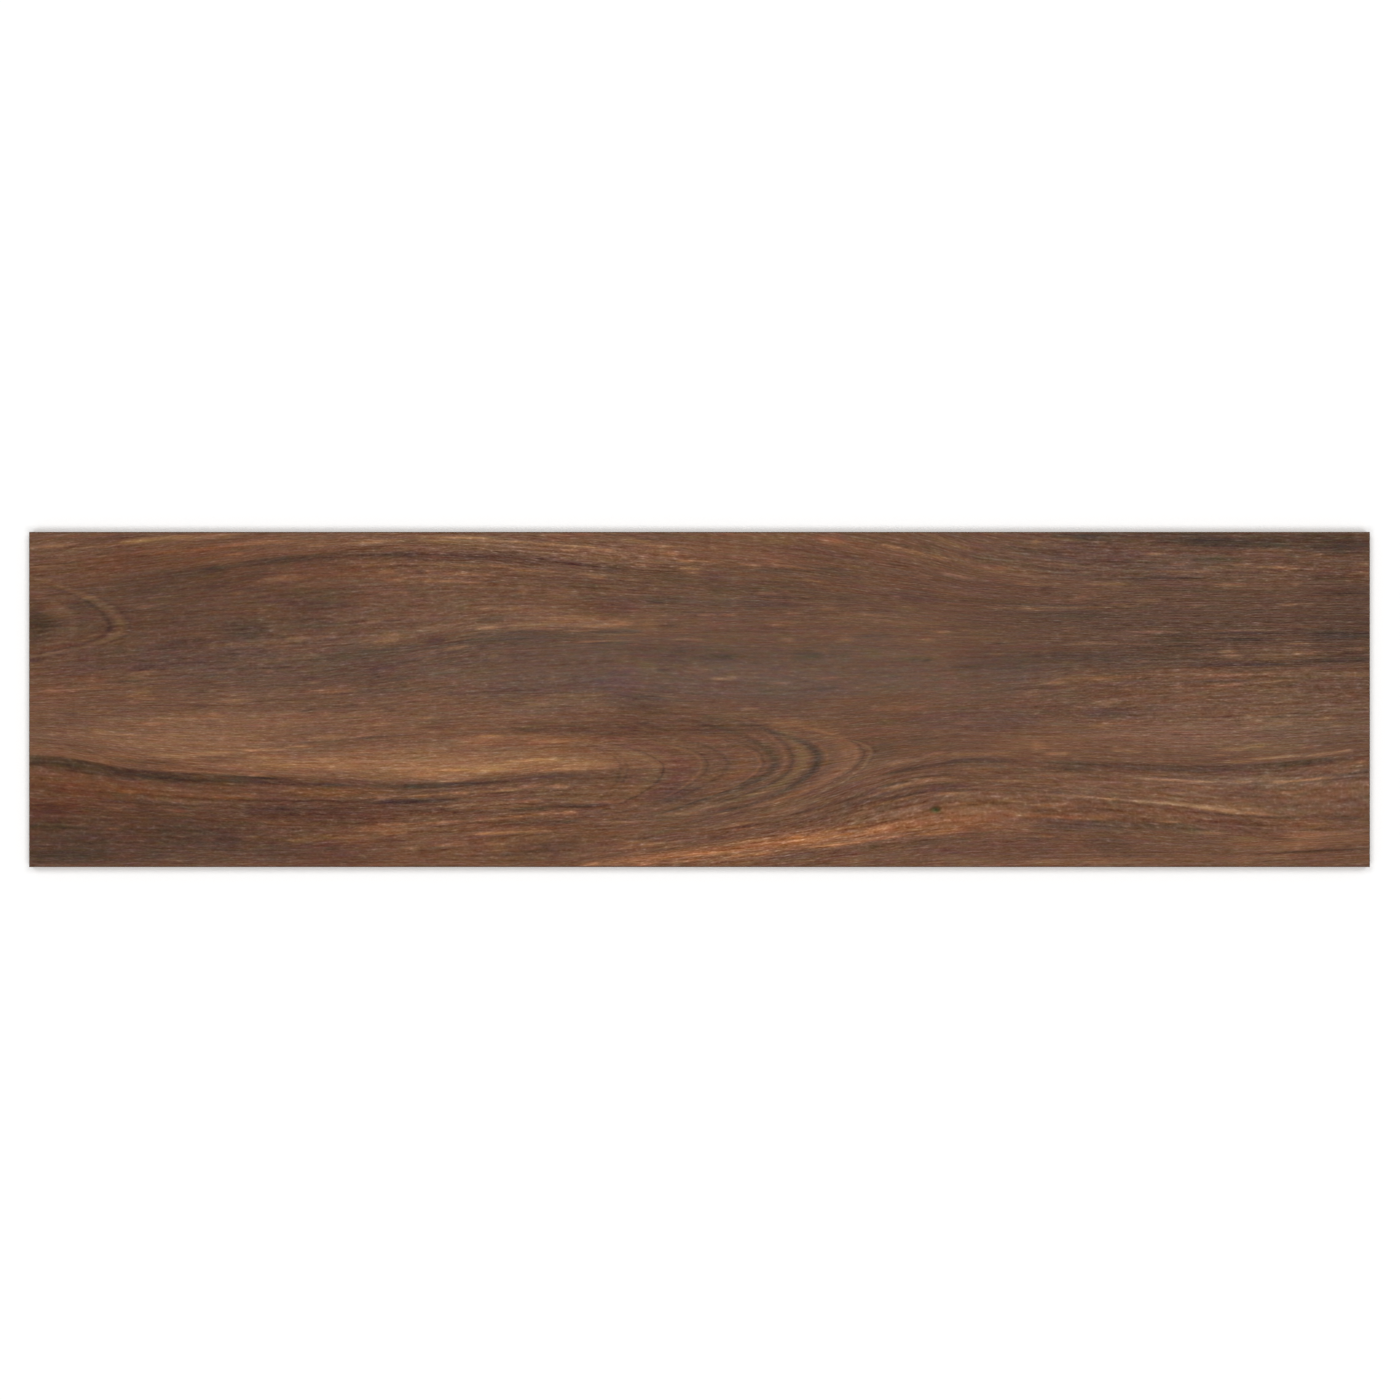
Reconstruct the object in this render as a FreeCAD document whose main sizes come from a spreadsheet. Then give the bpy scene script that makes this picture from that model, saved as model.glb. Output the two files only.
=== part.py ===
"""A wood look porcelain plank tile, in millimetres.

The plank is pressed from porcelain powder, printed and glazed on its face, fired as one piece and
then ground square on all four edges. Its back carries the keys that the press leaves: a grid of
shallow recesses with drafted walls, which the adhesive fills, inside a plain border.

The origin is the centre of the back, on the plane that the tile is bedded on. +X runs along the
plank with its grain, +Y across it, and +Z up through the tile to the glazed face.
"""
import FreeCAD, Part
import Sketcher
import math
import os

# Driving dimensions: alias, value and what it measures.
SIZES = [
    ("tile_length", 800.0, "length of the plank after grinding"),
    ("tile_width", 200.0, "width of the plank after grinding"),
    ("tile_thickness", 9.5, "from the bedding plane to the glazed face"),
    ("face_bevel", 0.5, "leg of the 45 degree bevel ground round the glazed face"),
    ("key_pitch", 20.0, "spacing of the recesses, both ways"),
    ("key_rib", 3.0, "width of the ribs between the recesses, on the bedding plane"),
    ("key_depth", 0.5, "depth of a recess"),
    ("key_draft", 50.0, "draft of a recess's walls, in degrees from upright"),
    ("key_border", 10.0, "least width of the plain border round the recesses"),
]

# Recesses that fit between the borders, as formulas on the sheet's cells.
FIT = "floor((Sizes.{0} - 2 * Sizes.key_border + Sizes.key_rib) / Sizes.key_pitch)"
COLUMNS = FIT.format("tile_length")
ROWS = FIT.format("tile_width")


def make_sheet(doc):
    """The spreadsheet that every feature is bound to."""
    sheet = doc.addObject("Spreadsheet::Sheet", "Sizes")
    for row, (alias, value, meaning) in enumerate(SIZES, start=1):
        sheet.set(f"A{row}", meaning)
        sheet.set(f"B{row}", str(value))
        sheet.setAlias(f"B{row}", alias)
    doc.recompute()
    return sheet


def origin_feature(body, role):
    """A plane or axis of the body's own origin, such as XY_Plane."""
    return next(item for item in body.Origin.OriginFeatures if item.Role == role)


def centred_rectangle(body, name, length, width):
    """A sketch on the bedding plane of a rectangle centred on the sketch's origin."""
    sketch = body.newObject("Sketcher::SketchObject", name)
    sketch.AttachmentSupport = [(origin_feature(body, "XY_Plane"), "")]
    sketch.MapMode = "FlatFace"
    corners = [FreeCAD.Vector(x, y, 0) for x, y in ((-1, -1), (1, -1), (1, 1), (-1, 1))]
    for start, end in zip(corners, corners[1:] + corners[:1]):
        sketch.addGeometry(Part.LineSegment(start, end))
    for side in range(4):
        sketch.addConstraint(Sketcher.Constraint("Coincident", side, 2, (side + 1) % 4, 1))
    for side, direction in enumerate(("Horizontal", "Vertical", "Horizontal", "Vertical")):
        sketch.addConstraint(Sketcher.Constraint(direction, side))
    sketch.addConstraint(Sketcher.Constraint("Symmetric", 0, 1, 1, 2, -1, 1))
    for side, label, formula in ((0, "along", length), (1, "across", width)):
        index = sketch.addConstraint(Sketcher.Constraint("Distance", side, 1.0))
        sketch.renameConstraint(index, label)
        sketch.setExpression(f"Constraints.{label}", formula)
    return sketch


def press_plank(doc, body):
    """The plank's full block, with its edges ground square."""
    outline = centred_rectangle(body, "PlankOutline", "Sizes.tile_length", "Sizes.tile_width")
    block = body.newObject("PartDesign::Pad", "PlankBlock")
    block.Profile = outline
    block.setExpression("Length", "Sizes.tile_thickness")
    doc.recompute()
    return block


def grind_bevel(doc, body, block):
    """The narrow bevel that takes the sharpness off the glazed face's four edges."""
    faces = block.Shape.Faces
    face = max(range(len(faces)), key=lambda index: faces[index].CenterOfMass.z)
    bevel = body.newObject("PartDesign::Chamfer", "FaceBevel")
    bevel.Base = (block, [f"Face{face + 1}"])
    bevel.setExpression("Size", "Sizes.face_bevel")
    doc.recompute()
    return bevel


def press_keys(doc, body):
    """The grid of key recesses in the back, each with drafted walls, centred on the plank."""
    mouth = "Sizes.key_pitch - Sizes.key_rib"
    corner = centred_rectangle(body, "KeyMouth", mouth, mouth)
    for axis, count in (("x", COLUMNS), ("y", ROWS)):
        corner.setExpression(f"AttachmentOffset.Base.{axis}", f"({count} - 1) / -2 * Sizes.key_pitch")

    key = body.newObject("PartDesign::Pocket", "Key")
    key.Profile = corner
    key.Reversed = True
    key.setExpression("Length", "Sizes.key_depth")
    key.setExpression("TaperAngle", "-Sizes.key_draft")
    doc.recompute()

    keys = body.newObject("PartDesign::LinearPattern", "KeyGrid")
    keys.Originals = [key]
    keys.Refine = False
    keys.Direction = (origin_feature(body, "X_Axis"), [""])
    keys.Direction2 = (origin_feature(body, "Y_Axis"), [""])
    keys.setExpression("Occurrences", COLUMNS)
    keys.setExpression("Occurrences2", ROWS)
    keys.setExpression("Length", f"({COLUMNS} - 1) * Sizes.key_pitch")
    keys.setExpression("Length2", f"({ROWS} - 1) * Sizes.key_pitch")
    body.Tip = keys
    doc.recompute()
    return key, keys


def key_volume(sheet):
    """Volume of one recess, as the frustum of a square pyramid."""
    mouth = sheet.key_pitch - sheet.key_rib
    floor = mouth - 2 * sheet.key_depth * math.tan(math.radians(sheet.key_draft))
    return sheet.key_depth / 3 * (mouth**2 + mouth * floor + floor**2)


def check(doc, body, sheet, before, keys):
    """Stops the build if a feature failed, or the recesses didn't cut what they should."""
    for item in doc.Objects:
        if "Invalid" in item.State or "Error" in item.State:
            raise RuntimeError(f"{item.Name} failed: {item.State}")
    shape = body.Shape
    if shape.isNull() or not shape.isValid() or len(shape.Solids) != 1:
        raise RuntimeError("the plank isn't one valid solid")
    cut = before - shape.Volume
    expected = keys.Occurrences * keys.Occurrences2 * key_volume(sheet)
    print(f"recesses {keys.Occurrences} x {keys.Occurrences2}, cut {cut:.1f}, expected {expected:.1f} mm3")
    if abs(cut - expected) > 0.01 * expected:
        raise RuntimeError("the recesses didn't cut what they should")


def main():
    doc = FreeCAD.newDocument("plank_tile")
    sheet = make_sheet(doc)
    body = doc.addObject("PartDesign::Body", "PlankTile")
    body.Label = "plank_tile"
    block = press_plank(doc, body)
    bevel = grind_bevel(doc, body, block)
    before = bevel.Shape.Volume
    key, keys = press_keys(doc, body)
    check(doc, body, sheet, before, keys)

    os.makedirs("parts", exist_ok=True)
    body.Shape.exportStep(os.path.join("parts", body.Label + ".step"))


main()
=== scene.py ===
import math

import bpy
import numpy as np
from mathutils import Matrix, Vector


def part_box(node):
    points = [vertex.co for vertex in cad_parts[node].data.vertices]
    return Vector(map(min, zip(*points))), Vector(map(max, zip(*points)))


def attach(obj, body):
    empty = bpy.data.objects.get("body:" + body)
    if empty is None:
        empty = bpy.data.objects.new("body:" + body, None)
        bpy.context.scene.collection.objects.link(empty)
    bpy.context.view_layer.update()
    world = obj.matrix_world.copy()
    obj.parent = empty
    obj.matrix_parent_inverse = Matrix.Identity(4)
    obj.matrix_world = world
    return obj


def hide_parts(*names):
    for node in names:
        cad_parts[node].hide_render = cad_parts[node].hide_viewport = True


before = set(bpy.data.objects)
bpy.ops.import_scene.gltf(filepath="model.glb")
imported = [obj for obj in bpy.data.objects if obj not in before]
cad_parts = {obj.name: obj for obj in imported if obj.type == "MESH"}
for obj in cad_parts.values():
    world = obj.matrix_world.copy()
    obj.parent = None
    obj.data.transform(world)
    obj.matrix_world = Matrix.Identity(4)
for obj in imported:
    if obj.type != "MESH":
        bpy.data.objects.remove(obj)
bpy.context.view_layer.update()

# The plank: porcelain pressed from powder, printed with wood and glazed on its face, fired as one piece and
# ground square on its four edges. The press leaves relief in the face and a grid of keys in the back. Sizes
# are millimetres until the mesh is made, with x along the plank, y across it and z up to the face.
MM = 0.001
plank_low, plank_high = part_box("plank_tile")
half_length = plank_high.x / MM
half_width = plank_high.y / MM
thickness = plank_high.z / MM
bevel = 0.5

# The grain runs along fibre lines, here from the top edge down: a level, and the points of its line. A line's
# corners are rounded over corner_ease either side.
FIBRE_LINES = [
    (140, [(-400, 135), (0, 138), (127, 124), (163, 113), (219, 107), (400, 105)]),
    (106, [(-400, 97), (-300, 104), (-200, 110), (-100, 108), (0, 103), (58, 98.8), (127, 87.5), (163, 77),
          (219, 71.5), (300, 70.5), (400, 70)]),
    (90, [(-400, 80), (-350, 84.5), (-303, 90), (-257, 93.5), (-170, 96.4), (-120, 95), (-72, 93),
          (-12, 88.5), (47, 83.5), (113, 75), (163, 68), (219, 64.5), (300, 63.5), (400, 63.5)]),
    (79, [(-400, 69), (-349, 73.5), (-300, 79), (-257, 84.5), (-210, 88), (-170, 88.7), (-130, 86.5),
          (-94, 82.5), (-50, 78.5), (0, 76), (50, 73.5), (100, 68), (150, 61.5), (200, 58.5), (400, 58)]),
    (70, [(-400, 60), (-340, 64), (-288, 70), (-257, 74), (-170, 77), (-137, 77.5), (-42, 72), (50, 66.5),
          (100, 61.5), (150, 56.5), (200, 53.5), (400, 53.5)]),
    (55, [(-400, 45), (-340, 49), (-300, 52), (-200, 57), (-100, 60), (-50, 58), (0, 56), (100, 55),
          (150, 50), (200, 47.5), (400, 47)]),
    (40, [(-400, 22), (-343, 27), (-290, 31), (-225, 33.5), (-160, 37), (-134, 41.5), (-100, 43.5),
          (-12, 44), (100, 43.5), (150, 41), (200, 39.5), (300, 38), (400, 38)]),
    (25, [(-400, 8), (-343, 10), (-290, 12), (-225, 16), (-160, 24), (-120, 28.5), (-50, 31), (50, 30),
          (150, 29), (330, 30), (400, 31)]),
    (5, [(-400, -6), (-300, -5), (-200, -2), (-130, 3), (-50, 6), (0, 3), (50, 2), (100, 3), (150, 6),
          (217, 10.5), (280, 14), (340, 16), (400, 17)]),
    (-18, [(-400, -19), (-350, -23), (-300, -25.5), (-257, -26.3), (-226, -24.8), (-170, -21.8),
          (-100, -20.5), (0, -20), (60, -19), (100, -15.5), (150, -14), (200, -15), (300, -14), (400, -11)]),
    (-42, [(-400, -33.3), (-385, -33.8), (-375, -34.8), (-365, -36.8), (-355, -38.7), (-345, -40.8),
          (-335, -42), (-320, -43.2), (-290, -44.8), (-270, -46), (-240, -47.3), (-220, -48.2),
          (-200, -49.2), (-183, -49.8), (-150, -48.8), (-130, -47.8), (-110, -46), (-90, -43.8), (-70, -43),
          (-40, -42.5), (0, -42), (40, -39.5), (80, -34.5), (112, -30), (153, -26.5), (200, -27),
          (300, -31), (345, -30), (400, -25)]),
    (-48, [(-400, -45), (-350, -49.5), (-310, -53), (-270, -55), (-220, -56.3), (-180, -56.5), (-160, -55.5),
          (-133, -54.5), (-110, -53.5), (-95, -52), (-75, -51.5), (-40, -50), (0, -49.5), (40, -45.2),
          (80, -38.5), (112, -33), (153, -28.5), (200, -29), (300, -33), (345, -32), (400, -26.5)]),
    (-54, [(-400, -56), (-340, -60.5), (-300, -63), (-250, -64), (-200, -64), (-158, -63), (-130, -60.8),
          (-95, -59), (-49, -58.5), (0, -57), (40, -51), (80, -42.5), (112, -36), (153, -30.5), (200, -31),
          (300, -35), (345, -34), (400, -28)]),
    (-63, [(-400, -68), (-300, -72), (-250, -74.5), (-200, -75), (-180, -74.5), (-150, -73.2), (-130, -72),
          (-100, -70.3), (-60, -70), (-30, -70), (0, -68.5), (40, -62), (70, -54.5), (90, -49), (112, -43),
          (130, -39), (153, -35.5), (194, -35.5), (255, -38.5), (301, -40), (345, -38), (400, -32)]),
    (-72, [(-400, -87), (-300, -87), (-200, -86.5), (-150, -84), (-100, -81.5), (-50, -80), (0, -76.5),
          (54, -69), (72.5, -63.3), (87.5, -57.6), (103, -52.8), (118, -48.9), (143, -46.3), (200, -47),
          (250, -48.5), (300, -51.5), (350, -52), (400, -47)]),
    (-80, [(-400, -96), (-200, -96), (-100, -96), (-50, -92), (0, -86), (40, -79.5), (69, -74.5), (103, -66),
          (143.5, -56.6), (170, -55), (214, -57.6), (255, -60.6), (285, -63.6), (319, -67), (345, -69.5),
          (400, -69.5)]),
    (-88, [(-400, -103), (-200, -103), (-110, -103), (-65, -97.8), (-4, -91.6), (42, -87.3), (87, -82.3),
          (127, -76.5), (170, -72.8), (200, -73.5), (250, -76), (300, -80), (350, -82), (400, -80)]),
    (-104, [(-400, -115), (-100, -115), (0, -107), (50, -101), (100, -96), (150, -92), (200, -91),
          (314, -90.4), (400, -86)]),
    (-130, [(-400, -135), (0, -128), (200, -112), (400, -106)]),
]
corner_ease = 9
ease_samples = 9


def fibre_line(points, x):
    """Height of a line at x: a broken line through the points, averaged over corner_ease either side."""
    points_x, points_y = np.array(points, float).T
    shifts = np.linspace(-corner_ease, corner_ease, ease_samples)
    return np.mean([np.interp(x + shift, points_x, points_y) for shift in shifts], axis=0)


def climb(value, steps):
    """Sums the steps from one line to the next, each as far as value has gone through it."""
    total = steps[0][1]
    for (start, low), (end, high) in zip(steps, steps[1:]):
        total = total + (high - low) * np.clip((value - start) / (end - start), 0, 1)
    return total


def fibre_level(x, y):
    """Level of the fibre through each point: between two lines it changes evenly with y."""
    return climb(y, [(fibre_line(points, x), float(level)) for level, points in reversed(FIBRE_LINES)])


def fibre_height(x, level):
    """The other way round: where across the plank a fibre of that level lies at x."""
    return climb(level, [(float(at), fibre_line(points, x)) for at, points in reversed(FIBRE_LINES)])


# The stain of the printed wood, in steps of a display, 255 to white: x, y, half length, reach above, reach
# below, lighter, warmer, greener. Each is a lens that follows the fibres and thins towards its two ends.
PATCHES = [
    (-400, -65, 90, 14, 24, 0, 5, 0), (-400, -84, 190, 20, 30, -14, -4, 0),
    (-398, -65, 24, 7, 6, -7, 1, -1), (-397, 45, 17, 8, 8, -9, -2, 2), (-392, 3, 22, 6, 6, 1, 3, -1),
    (-390, -38, 60, 4, 5, 0, 5, 0), (-385, -38, 60, 3.2, 3.4, -17, -4, 1), (-385, -52, 60, 5, 6, -4, 0, 0),
    (-385, -67, 24, 6, 5, -3, 2, -1), (-385, -76, 19, 2.5, 2.5, -6, -1, 2), (-380, -12, 40, 8, 8, 2, -1, 0),
    (-380, -93, 34, 5, 6, -8, -2, 1), (-370, -53, 50, 6, 7, -5, 4, 0), (-365, -52, 50, 6, 6, -2, 3, 0),
    (-363, 12, 11, 3, 3, 3, 3, -1), (-355, 96, 28, 2, 2, -5, 2, 0), (-350, 82, 60, 4, 6, -2, 1, 0),
    (-350, 50, 130, 30, 30, -8, 0, 0), (-350, 8, 60, 8, 8, 2, 1, 0), (-345, -31, 60, 3, 3, -4, 1, 0),
    (-345, -44.3, 60, 2.8, 3, -12, -3, 1), (-340, -37, 60, 4, 5, -3, 4, 0),
    (-335, 66, 45, 12, 12, 9, -2, 0), (-330, 60, 45, 14, 12, -4, -1, 0), (-330, -24, 110, 8, 8, 5, -1, 0),
    (-320, 70, 70, 8, 10, -8, 0, 0), (-320, 24, 70, 8, 8, -2, -3, -1), (-310, 87, 70, 5, 5, 0, 3, -1),
    (-310, -26, 60, 6, 7, 8, 1, 1), (-310, -85, 60, 7, 6, -2, 3, 0), (-308, 33.5, 20, 3, 3, -6, -2, -1),
    (-305, 75.5, 28, 3, 4, -6, -2, 1), (-305, -57.5, 48, 2.8, 2.8, 3, 5, 0),
    (-300, 84, 160, 12, 15, 0, 3, 0), (-300, -47, 60, 4, 4, -5, 0, 0),
    (-300, -48.4, 34, 3.6, 3.8, -11, -2, 1), (-290, -12, 70, 6, 6, 5, 0, 0),
    (-290, -50, 120, 8, 10, 0, 4, 0), (-290, -69, 115, 8, 7, -11, 3, 0), (-272, 41, 18, 7, 6, -7, -3, 1),
    (-262, 81.5, 32, 2.5, 2.5, -6, -2, -1), (-250, -49.6, 42, 2, 2, -11, -3, -1),
    (-250, -60.5, 110, 1, 1.6, -11, 1, 0), (-240, -57, 45, 5, 5, -4, 3, 0),
    (-235, 84.5, 45, 3, 3, -11, -2, 0), (-235, -39, 46, 5, 4, 5, 3, 0), (-235, -45, 70, 5, 4, -9, 0, 0),
    (-230, 44.5, 17, 5, 4, -6, -3, 1), (-230, -14, 150, 10, 10, 6, 0, 0), (-225, 76, 50, 6, 6, -7, 2, 0),
    (-225, 64, 27, 4, 4, -7, -2, 1), (-225, 55.5, 24, 4, 4, -8, -2, -1), (-225, -93, 44, 7, 8, -7, -1, -1),
    (-215, 75, 38, 4, 4, 4, 3, -1), (-215, -55.3, 36, 1.8, 1.8, 4, 5, 0), (-213, 7, 14, 3, 4, 3, 2, 0),
    (-210, -47, 210, 22, 1, 12, 1, 0), (-210, -66.5, 66, 5, 6, -9, -1, -1), (-205, -12, 34, 4, 4, 2, 1, -1),
    (-197, 28, 32, 4, 5, -7, -3, 1), (-190, 25, 160, 22, 26, 0, -5, 0), (-188, -77.5, 19, 3, 2.5, 8, 2, 1),
    (-185, 37, 20, 3.5, 3.5, 9, 1, 1), (-175, -29, 50, 4, 5, 6, 0, 0),
    (-172, -51.7, 60, 1.6, 1.8, -12, -3, 1), (-168, -61, 28, 1.8, 1.6, -16, -5, -1),
    (-165, 86.6, 45, 2.2, 2.8, -13, -2, -1), (-165, -37, 34, 3, 4, 4, 1, 1), (-160, 74, 40, 4, 4, 5, 1, 0),
    (-150, 24, 250, 10, 10, -3, -1, 0), (-150, -40, 140, 9, 7, 11, 1, 1),
    (-150, -51.5, 30, 2, 2, -6, -1, 0), (-150, -80, 140, 18, 22, 0, 4, 0), (-142, 60, 20, 3, 3, -1, -2, 1),
    (-140, 56, 28, 3, 3, 4, -1, 1), (-140, 44, 32, 3, 3, 8, 1, 1), (-135, -16, 24, 2, 2, 0, 2, 0),
    (-130, 93.5, 38, 2.5, 3, 6, -1, 2), (-120, 96, 160, 6, 7, 8, -3, 0),
    (-110, 84, 42, 2.6, 3, -10, -3, -2), (-110, 37.3, 38, 2.5, 3, -6, -3, 1),
    (-110, -47.6, 42, 1.4, 2, -11, -2, -1), (-110, -67, 50, 2.5, 2.5, -5, -1, 0),
    (-100, 96, 45, 5, 4, -7, 3, 0), (-100, -38.5, 56, 3, 3.5, 9, 1, 2), (-100, -87, 17, 2, 2.5, -6, -3, -1),
    (-95, 53, 28, 4, 4, 8, 1, 0), (-95, 46, 27, 4, 4, 9, 2, 0), (-95, 24, 70, 7, 7, 1, 3, 0),
    (-95, -6.5, 19, 2, 2, -4, -3, 0), (-95, -24, 55, 3, 3, 6, 5, 0), (-85, -3, 50, 6, 6, 4, -4, 0),
    (-82, -18, 18, 3, 3, -8, 0, -1), (-82, -30, 18, 3, 3, 1, 4, 0), (-82, -87, 14, 3, 4, -7, -3, 0),
    (-80, 45, 60, 6, 6, 0, -2, 0), (-70, 2, 22, 3, 3, 4, 0, 2), (-70, -38, 60, 4, 4, -6, 0, 0),
    (-66, -40, 18, 3, 3, 14, 1, 0), (-65, 46.5, 32, 3.5, 4, 10, 2, 1), (-60, -47, 26, 2.5, 3, -6, -2, 1),
    (-58, 78.5, 17, 2, 2, -9, -3, 1), (-55, 14, 25, 6, 6, -2, -2, -1), (-55, -54, 36, 4, 5, 4, 1, 1),
    (-50, 87, 54, 5, 5, 6, 1, 0), (-50, 55, 14, 4, 4, -4, -1, -2), (-48, 40.5, 16, 1.5, 1.8, -6, -5, 1),
    (-45, -97.5, 34, 2.5, 3, 8, 4, 0), (-43, -12, 17, 2, 2, -3, 1, -2), (-40, 77, 24, 2, 2, -5, -1, 0),
    (-36, -4, 20, 5, 5, -4, -2, 0), (-35, -70, 50, 6, 6, 0, -3, 0), (-33, 1, 26, 3, 4, -4, -1, 1),
    (-30, 10, 60, 8, 8, 0, 2, 0), (-20, 5, 120, 10, 8, -2, -4, -1), (-20, -18, 60, 5, 5, -8, 1, 0),
    (-15, 90, 34, 4, 5, -5, 2, 0), (-12, -58, 19, 6, 6, -8, -3, 0), (-10, 58, 70, 4, 4, -5, -4, 0),
    (0, 68, 110, 6, 7, -3, -1, 1), (5, 49, 40, 7, 7, 0, -3, 0), (6, -15, 12, 3, 4, -5, -2, -1),
    (10, 87, 54, 6, 5, 4, 3, -1), (10, 25, 14, 3, 3, -3, -3, 2), (10, -97, 60, 3, 4, 6, 1, 0),
    (20, 95.5, 38, 2.3, 2, 3, 0, 2), (20, 61, 40, 6, 6, 6, -2, 0), (20, 8, 180, 12, 10, 3, -4, 0),
    (20, -79, 60, 3, 3, -2, 1, -1), (28, 44, 26, 5, 5, -2, 0, -1), (30, -87.5, 110, 4.2, 4.5, 13, 9, 0),
    (45, 57, 24, 4, 4, -5, -2, -1), (46, 76.5, 15, 1.8, 2, -4, -3, 1), (50, 97, 17, 2, 3, 6, 1, 2),
    (50, -10, 50, 6, 6, 0, -3, 0), (55, -14, 13, 2.5, 2.5, 7, 3, 0), (55, -93, 17, 2, 2, -5, -2, -2),
    (60, 20, 230, 25, 20, 0, -7, 0), (60, -48, 80, 8, 8, 0, -3, 0), (60, -86, 110, 5, 5, 6, 3, 0),
    (65, 26, 11, 4, 4, -6, -3, 2), (68, 89, 26, 2, 2.5, -3, 1, -2), (73, -15, 14, 3, 4, 2, 3, 1),
    (75, 75.5, 15, 2, 2, -2, -2, 1), (80, 95, 10, 2, 2, 6, 4, -1), (85, -54, 14, 3, 3, -4, 0, -3),
    (90, 60, 120, 10, 8, -4, -1, 0), (95, -45, 28, 14, 14, 4, 0, 0), (100, 52, 42, 8, 8, 2, -3, 0),
    (100, -77, 42, 4, 5, -9, -2, 0), (105, 89, 34, 4, 4, 4, 2, 0), (105, 38, 14, 2, 2.5, -4, -4, 0),
    (108, 47.5, 34, 3, 3, 5, 1, 1), (110, -30, 8, 5, 5, -4, -2, 1), (110, -31, 11, 4, 4, -3, -2, 1),
    (112, 5, 22, 4, 3, 2, 1, 1), (120, -42.5, 14, 1.5, 1.5, -8, -1, 1), (128, 61, 18, 4, 4, -5, -2, -2),
    (131, -25, 13, 4, 3.5, -4, -3, 0), (135, -40, 26, 2, 2, -9, -3, 0),
    (145, -52.5, 20, 1.8, 1.8, -9, -2, -2), (145, -70, 55, 7, 8, 8, 3, 0), (145, -72, 44, 5, 5, 5, 3, -1),
    (145, -84, 21, 2, 2, -7, -2, 0), (153, 82.5, 18, 2.5, 2.5, 5, 1, 2), (160, -14, 45, 6, 6, 0, -3, 0),
    (164, -42, 16, 3, 3, 3, 3, -1), (165, 68, 60, 5, 6, -5, -1, -1), (165, -14, 46, 6, 6, -2, -3, -2),
    (165, -77, 38, 5, 5, 9, 4, 0), (170, -36, 25, 1.8, 1.8, -9, -5, 0), (170, -61.5, 16, 2.5, 2, -5, 3, 1),
    (174, 39, 15, 3, 3, 4, 0, 2), (175, 3, 45, 7, 7, 0, -4, 0), (180, -56, 28, 4, 4, 7, 0, 0),
    (187, 74.5, 21, 2.5, 2, 4, 3, 0), (195, -87, 66, 6, 6, -3, 0, -2), (200, 24, 56, 7, 7, -6, -3, 0),
    (205, -28, 36, 5, 4, 5, 2, 0), (215, 28, 90, 8, 8, 0, 5, 0), (215, -75.5, 17, 2.5, 2.5, -7, -3, 0),
    (222, 50, 29, 2.5, 2.5, -7, -3, 1), (222, -69.8, 27, 1.4, 1.4, 5, 5, 0),
    (225, 87, 50, 6, 8, -3, -1, -1), (230, -8, 60, 6, 6, -3, -3, 0), (232, 97.5, 22, 2, 2, -8, -4, 2),
    (240, 82, 110, 14, 14, 0, -5, 0), (240, -96, 120, 4, 4, 5, 0, 0), (243, -86, 15, 6, 6, -5, -2, 1),
    (245, -7, 17, 3, 3, -5, -3, -2), (250, 88, 20, 6, 6, 0, 1, -2), (250, -76, 28, 3, 3.5, -8, -4, 0),
    (260, 96, 60, 5, 4, -10, -2, 0), (260, -68, 160, 5, 5, 0, 3, 0), (265, 28, 38, 7, 7, -4, -3, 1),
    (277, -58, 14, 1.5, 1.5, 3, 1, 2), (285, -22, 60, 9, 9, 5, 2, -1), (285, -77, 26, 3, 3, -6, -1, 1),
    (287, 15.5, 34, 2.5, 2.5, 6, 3, 0), (290, 99, 60, 1.5, 1.5, -5, -4, 1),
    (295, -41.2, 95, 3.6, 3.6, -10, -4, 0), (300, -63, 48, 3, 2, 5, 1, 1), (310, 92, 45, 6, 5, -5, 0, 0),
    (310, -55, 120, 20, 16, 4, 0, 0), (318, -74, 28, 4, 4, -5, 0, -1), (320, -18, 120, 22, 14, 6, 0, 0),
    (330, 44, 190, 34, 34, -8, -4, 0), (330, -54, 110, 4, 6, 5, 1, 0), (338, -28.5, 26, 3, 3, 6, 1, 3),
    (338, -47.5, 18, 2, 2, 5, 1, 2), (340, -20, 120, 10, 12, 0, -6, 0), (345, 94.5, 64, 4, 4, -10, -4, 1),
    (350, 15.5, 50, 3, 3, 5, 1, 1), (350, -49, 90, 5, 5, 0, -7, 0), (355, -68, 50, 3, 3, 6, -2, 0),
    (360, -14, 40, 8, 8, 3, -1, 1), (360, -85, 50, 4, 4, 6, 3, 0), (365, 28, 18, 2.5, 2.5, 6, 0, 1),
    (370, 97, 50, 4, 4, -6, 0, 0), (375, -37, 48, 3, 3, -4, -1, 0), (383, -71.5, 11, 2.5, 3, -5, -2, 0),
    (385, 90, 26, 3, 3, -9, -4, 0), (385, 45, 60, 20, 20, 0, 2, 0), (385, 38.5, 26, 3, 3, -9, -4, 1),
    (385, -36, 25, 3, 3, -4, 0, 0), (385, -38, 50, 4, 4, 0, 3, 0), (400, 60, 50, 60, 60, -5, -1, 0),
]

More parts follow.
